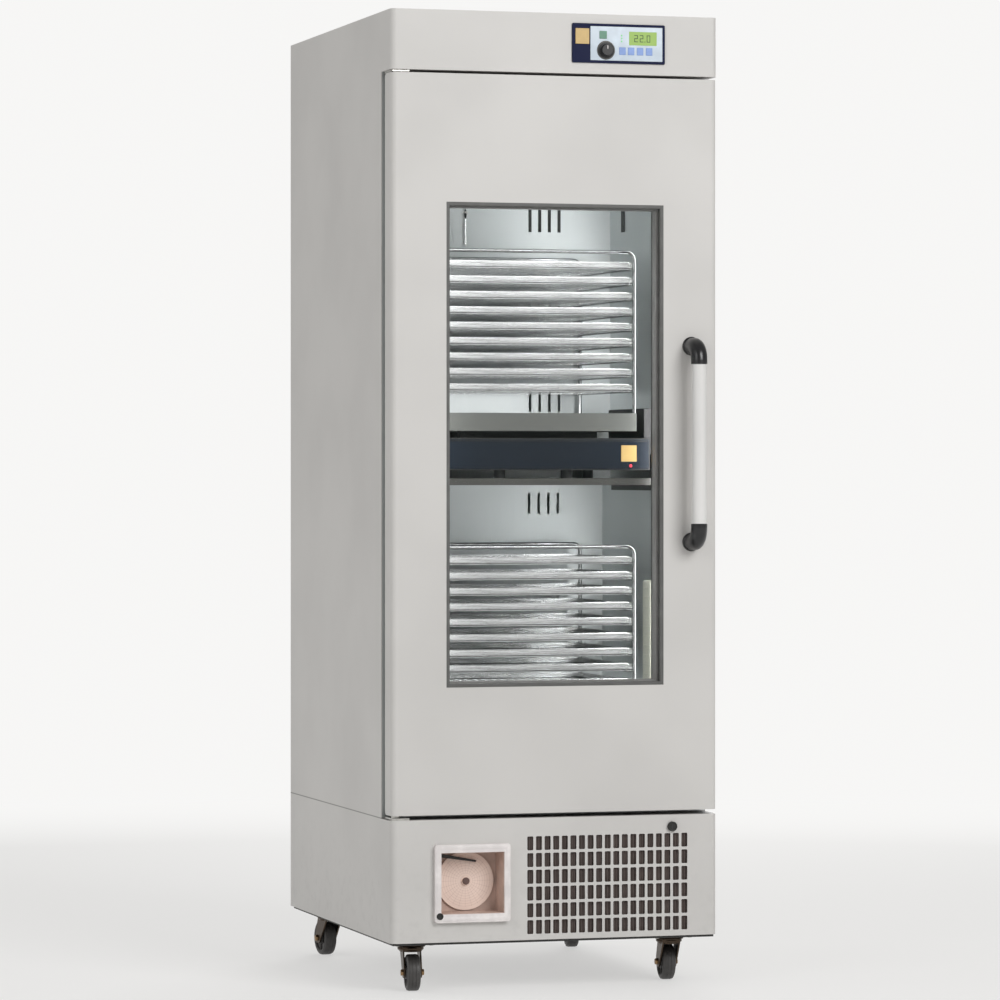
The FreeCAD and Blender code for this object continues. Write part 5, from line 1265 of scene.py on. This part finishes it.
def caster(corner):
    fork, wheel = f"caster_fork_{corner}", f"caster_wheel_{corner}"
    joints = {joint["child"]: joint for joint in frame["joints"]}
    axle = Vector(joints[wheel]["axis"]).normalized()
    centre = Vector(joints[wheel]["pos_m"])
    stem = Vector(joints[fork]["pos_m"])
    up = Vector((0, 0, 1))
    level = axle.cross(up)
    rings = []
    for radius, reach in wheel_rings():
        rings.append([centre + up * a + level * b + axle * reach for a, b in circle(radius, 56)])
    shape = bmesh.new()
    loft_into(shape, rings, closed=True)
    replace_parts(add_piece(f"wheel_{corner}", wheel, wheel_plastic, shape), wheel)
    spokes = bmesh.new()
    metal = bmesh.new()
    for side in (-1, 1):
        near = centre + axle * HALF_WHEEL * SPOKE_SHARE * side
        for number in range(SPOKES):
            turn = 2 * math.pi * number / SPOKES
            ray = up * math.cos(turn) + level * math.sin(turn)
            across = axle.cross(ray)
            foot = [near + ray * reach + across * offset for reach, offset in SPOKE_OUTLINE]
            loft_into(spokes, [foot, [point + axle * HALF_WHEEL * SPOKE_RISE * side for point in foot]])
        hexagon_into(metal, centre + axle * NUT_REACH * side, axle * side, NUT_RADIUS, NUT_HEIGHT)
    add_piece(f"wheel_ribs_{corner}", wheel, wheel_plastic, spokes, smooth=False)
    lathe_into(metal, (stem.x, stem.y, RACE_TOP), "Z", RACE, 40)
    add_piece(f"swivel_head_{corner}", fork, bronze_plate, lathe(
        (stem.x, stem.y, HEAD_TOP), "Z", SWIVEL_HEAD, HEAD_SIDES,
    ))
    add_piece(f"caster_metal_{corner}", fork, golden_plate, metal)
    bolts = bmesh.new()
    for x in (-PLATE_HALF_X, PLATE_HALF_X):
        for y in (-PLATE_HALF_Y, PLATE_HALF_Y):
            hexagon_into(bolts, (stem.x + x, stem.y + y, BOLT_TOP), (0, 0, -1), BOLT_RADIUS, BOLT_HEIGHT)
    add_piece(f"plate_bolts_{corner}", "cabinet", plated_steel, bolts, smooth=False)


for corner in CORNERS:
    caster(corner)
print("casters:", len(CORNERS))

# %% [markdown]
# The floor is a wide pale disc that keeps the cabinet's shadow and fades into the same pale
# tone as the background, so that no horizon line shows. The background's tone is only for the
# eye and for reflections; the light that falls on the object is a separate, softer value.

# %% Floor and background
BACKGROUND = 0.93
BACKGROUND_TINT = rgb(BACKGROUND, BACKGROUND * 0.995, BACKGROUND * 0.985)
WORLD_LIGHT = 0.32
FLOOR_RADIUS = 40.0
FADE_START = 1.6
FADE_END = 5.0
FLOOR_PALENESS = 0.55

floor_shape = bmesh.new()
bmesh.ops.create_circle(floor_shape, cap_ends=True, segments=96, radius=FLOOR_RADIUS)
floor_mesh = bpy.data.meshes.new("floor")
floor_shape.to_mesh(floor_mesh)
floor_shape.free()
floor = bpy.data.objects.new("floor", floor_mesh)
bpy.context.scene.collection.objects.link(floor)
floor_finish = Finish("floor_pale", Roughness=0.9)
floor_finish.set("Base Color", rgb(0.86, 0.855, 0.845))
floor_mesh.materials.append(floor_finish.material)
across = floor_finish.place("X")
deep = floor_finish.place("Y")
distance = (across * across + deep * deep) ** 0.5
fade = floor_finish.soften(distance, FADE_START, FADE_END)
paleness = floor_finish.node("ShaderNodeMath", {"operation": "MAXIMUM"}, {0: fade, 1: FLOOR_PALENESS})
rays = floor_finish.node("ShaderNodeLightPath", output="Is Camera Ray")
glossy = floor_finish.node("ShaderNodeLightPath", output="Is Glossy Ray")
passing = floor_finish.node("ShaderNodeLightPath", output="Is Transmission Ray")
seen = floor_finish.node("ShaderNodeMath", {"operation": "MINIMUM"}, {0: rays + glossy + passing, 1: 1.0})
plain = floor_finish.node("ShaderNodeEmission", sockets={"Color": BACKGROUND_TINT, "Strength": 1.0})
surface = floor_finish.node("ShaderNodeMixShader", sockets={
    0: paleness * seen, 1: Field(floor_finish, floor_finish.shader.outputs[0]), 2: plain,
})
floor_finish.feed(floor_finish.tree.nodes["Material Output"].inputs["Surface"], surface)

world = bpy.data.worlds.new("studio")
world.use_nodes = True
bpy.context.scene.world = world
sky = Graph(world.node_tree)
lit = sky.tree.nodes["Background"]
sky.feed(lit.inputs["Color"], rgb(1.0, 0.99, 0.975))
sky.feed(lit.inputs["Strength"], WORLD_LIGHT)
shown = sky.node("ShaderNodeBackground", sockets={"Color": BACKGROUND_TINT})
straight = sky.node("ShaderNodeLightPath", output="Is Camera Ray")
through = sky.node("ShaderNodeLightPath", output="Is Transmission Ray")
either = sky.node("ShaderNodeMath", {"operation": "MAXIMUM"}, {0: straight, 1: through})
both = sky.node("ShaderNodeMixShader", sockets={0: either, 1: Field(sky, lit.outputs[0]), 2: shown})
sky.feed(sky.tree.nodes["World Output"].inputs["Surface"], both)
print("background tone:", BACKGROUND)

# %% [markdown]
# The studio has one broad key light high on the right, which is why the cabinet's left side is a
# little darker than its front, a weak fill on the left and two from behind for the other views.
# Inside the chamber, strips behind the door's frame, one under each deck's ceiling and one on
# each platform stand for the cabinet's own lights.

# %% Lights
def area_light(name, place, target, size, power, size_y=None):
    data = bpy.data.lights.new(name, "AREA")
    data.energy = power
    data.size = size
    if size_y is not None:
        data.shape = "RECTANGLE"
        data.size_y = size_y
    lamp = bpy.data.objects.new(name, data)
    lamp.location = place
    direction = Vector(target) - Vector(place)
    lamp.rotation_euler = direction.to_track_quat("-Z", "Y").to_euler()
    lamp.visible_camera = False
    bpy.context.scene.collection.objects.link(lamp)
    return lamp


MIDDLE = (0, 0, 1.0)
STUDIO_SIZE = 3.0
STUDIO = {
    "key": ((2.0, -5.8, 3.9), 212), "fill": ((-4.6, -3.4, 3.2), 55),
    "rear": ((2.5, 5.5, 3.0), 120), "rear_side": ((-5.0, 3.5, 2.5), 52),
}
for name, (place, power) in STUDIO.items():
    area_light(name, place, MIDDLE, STUDIO_SIZE, power)

STRIP_X = 0.272
STRIP_TARGET_X = 0.02
STRIP_MIDDLE = 1.12
STRIP_SIZE = (0.03, 1.25)
STRIP_POWER = 1.9
CEILING = {"upper": (1.80, 0.24), "lower": (1.02, 0.09)}
CEILING_SIZE = (0.5, 0.06)
DECK_GLOW_POWER = 0.28
DECK_GLOW_SIZE = (0.40, 0.02)
DECK_GLOW_RISE = 0.016
DECK_GLOW_Y = (-0.10, 0.14)
chamber_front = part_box("inner_liner")[0].y
for side in (-1, 1):
    place = (STRIP_X * side, chamber_front + 0.012, STRIP_MIDDLE)
    target = (STRIP_TARGET_X * side, chamber_front + 0.45, STRIP_MIDDLE)
    area_light(f"chamber_side_{side}", place, target, STRIP_SIZE[0], STRIP_POWER, STRIP_SIZE[1])
for name, (height, power) in CEILING.items():
    place, target = (0, chamber_front + 0.05, height), (0, chamber_front + 0.42, height - 0.45)
    area_light(f"chamber_{name}", place, target, CEILING_SIZE[0], power, CEILING_SIZE[1])
for deck in DECKS:
    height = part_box(f"rack_{deck}")[0].z + PLATFORM_HEIGHT + DECK_GLOW_RISE
    place, target = (0, DECK_GLOW_Y[0], height), (0, DECK_GLOW_Y[1], height + 0.03)
    area_light(f"platform_{deck}", place, target, DECK_GLOW_SIZE[0], DECK_GLOW_POWER, DECK_GLOW_SIZE[1])
print("lights:", len(bpy.data.lights))
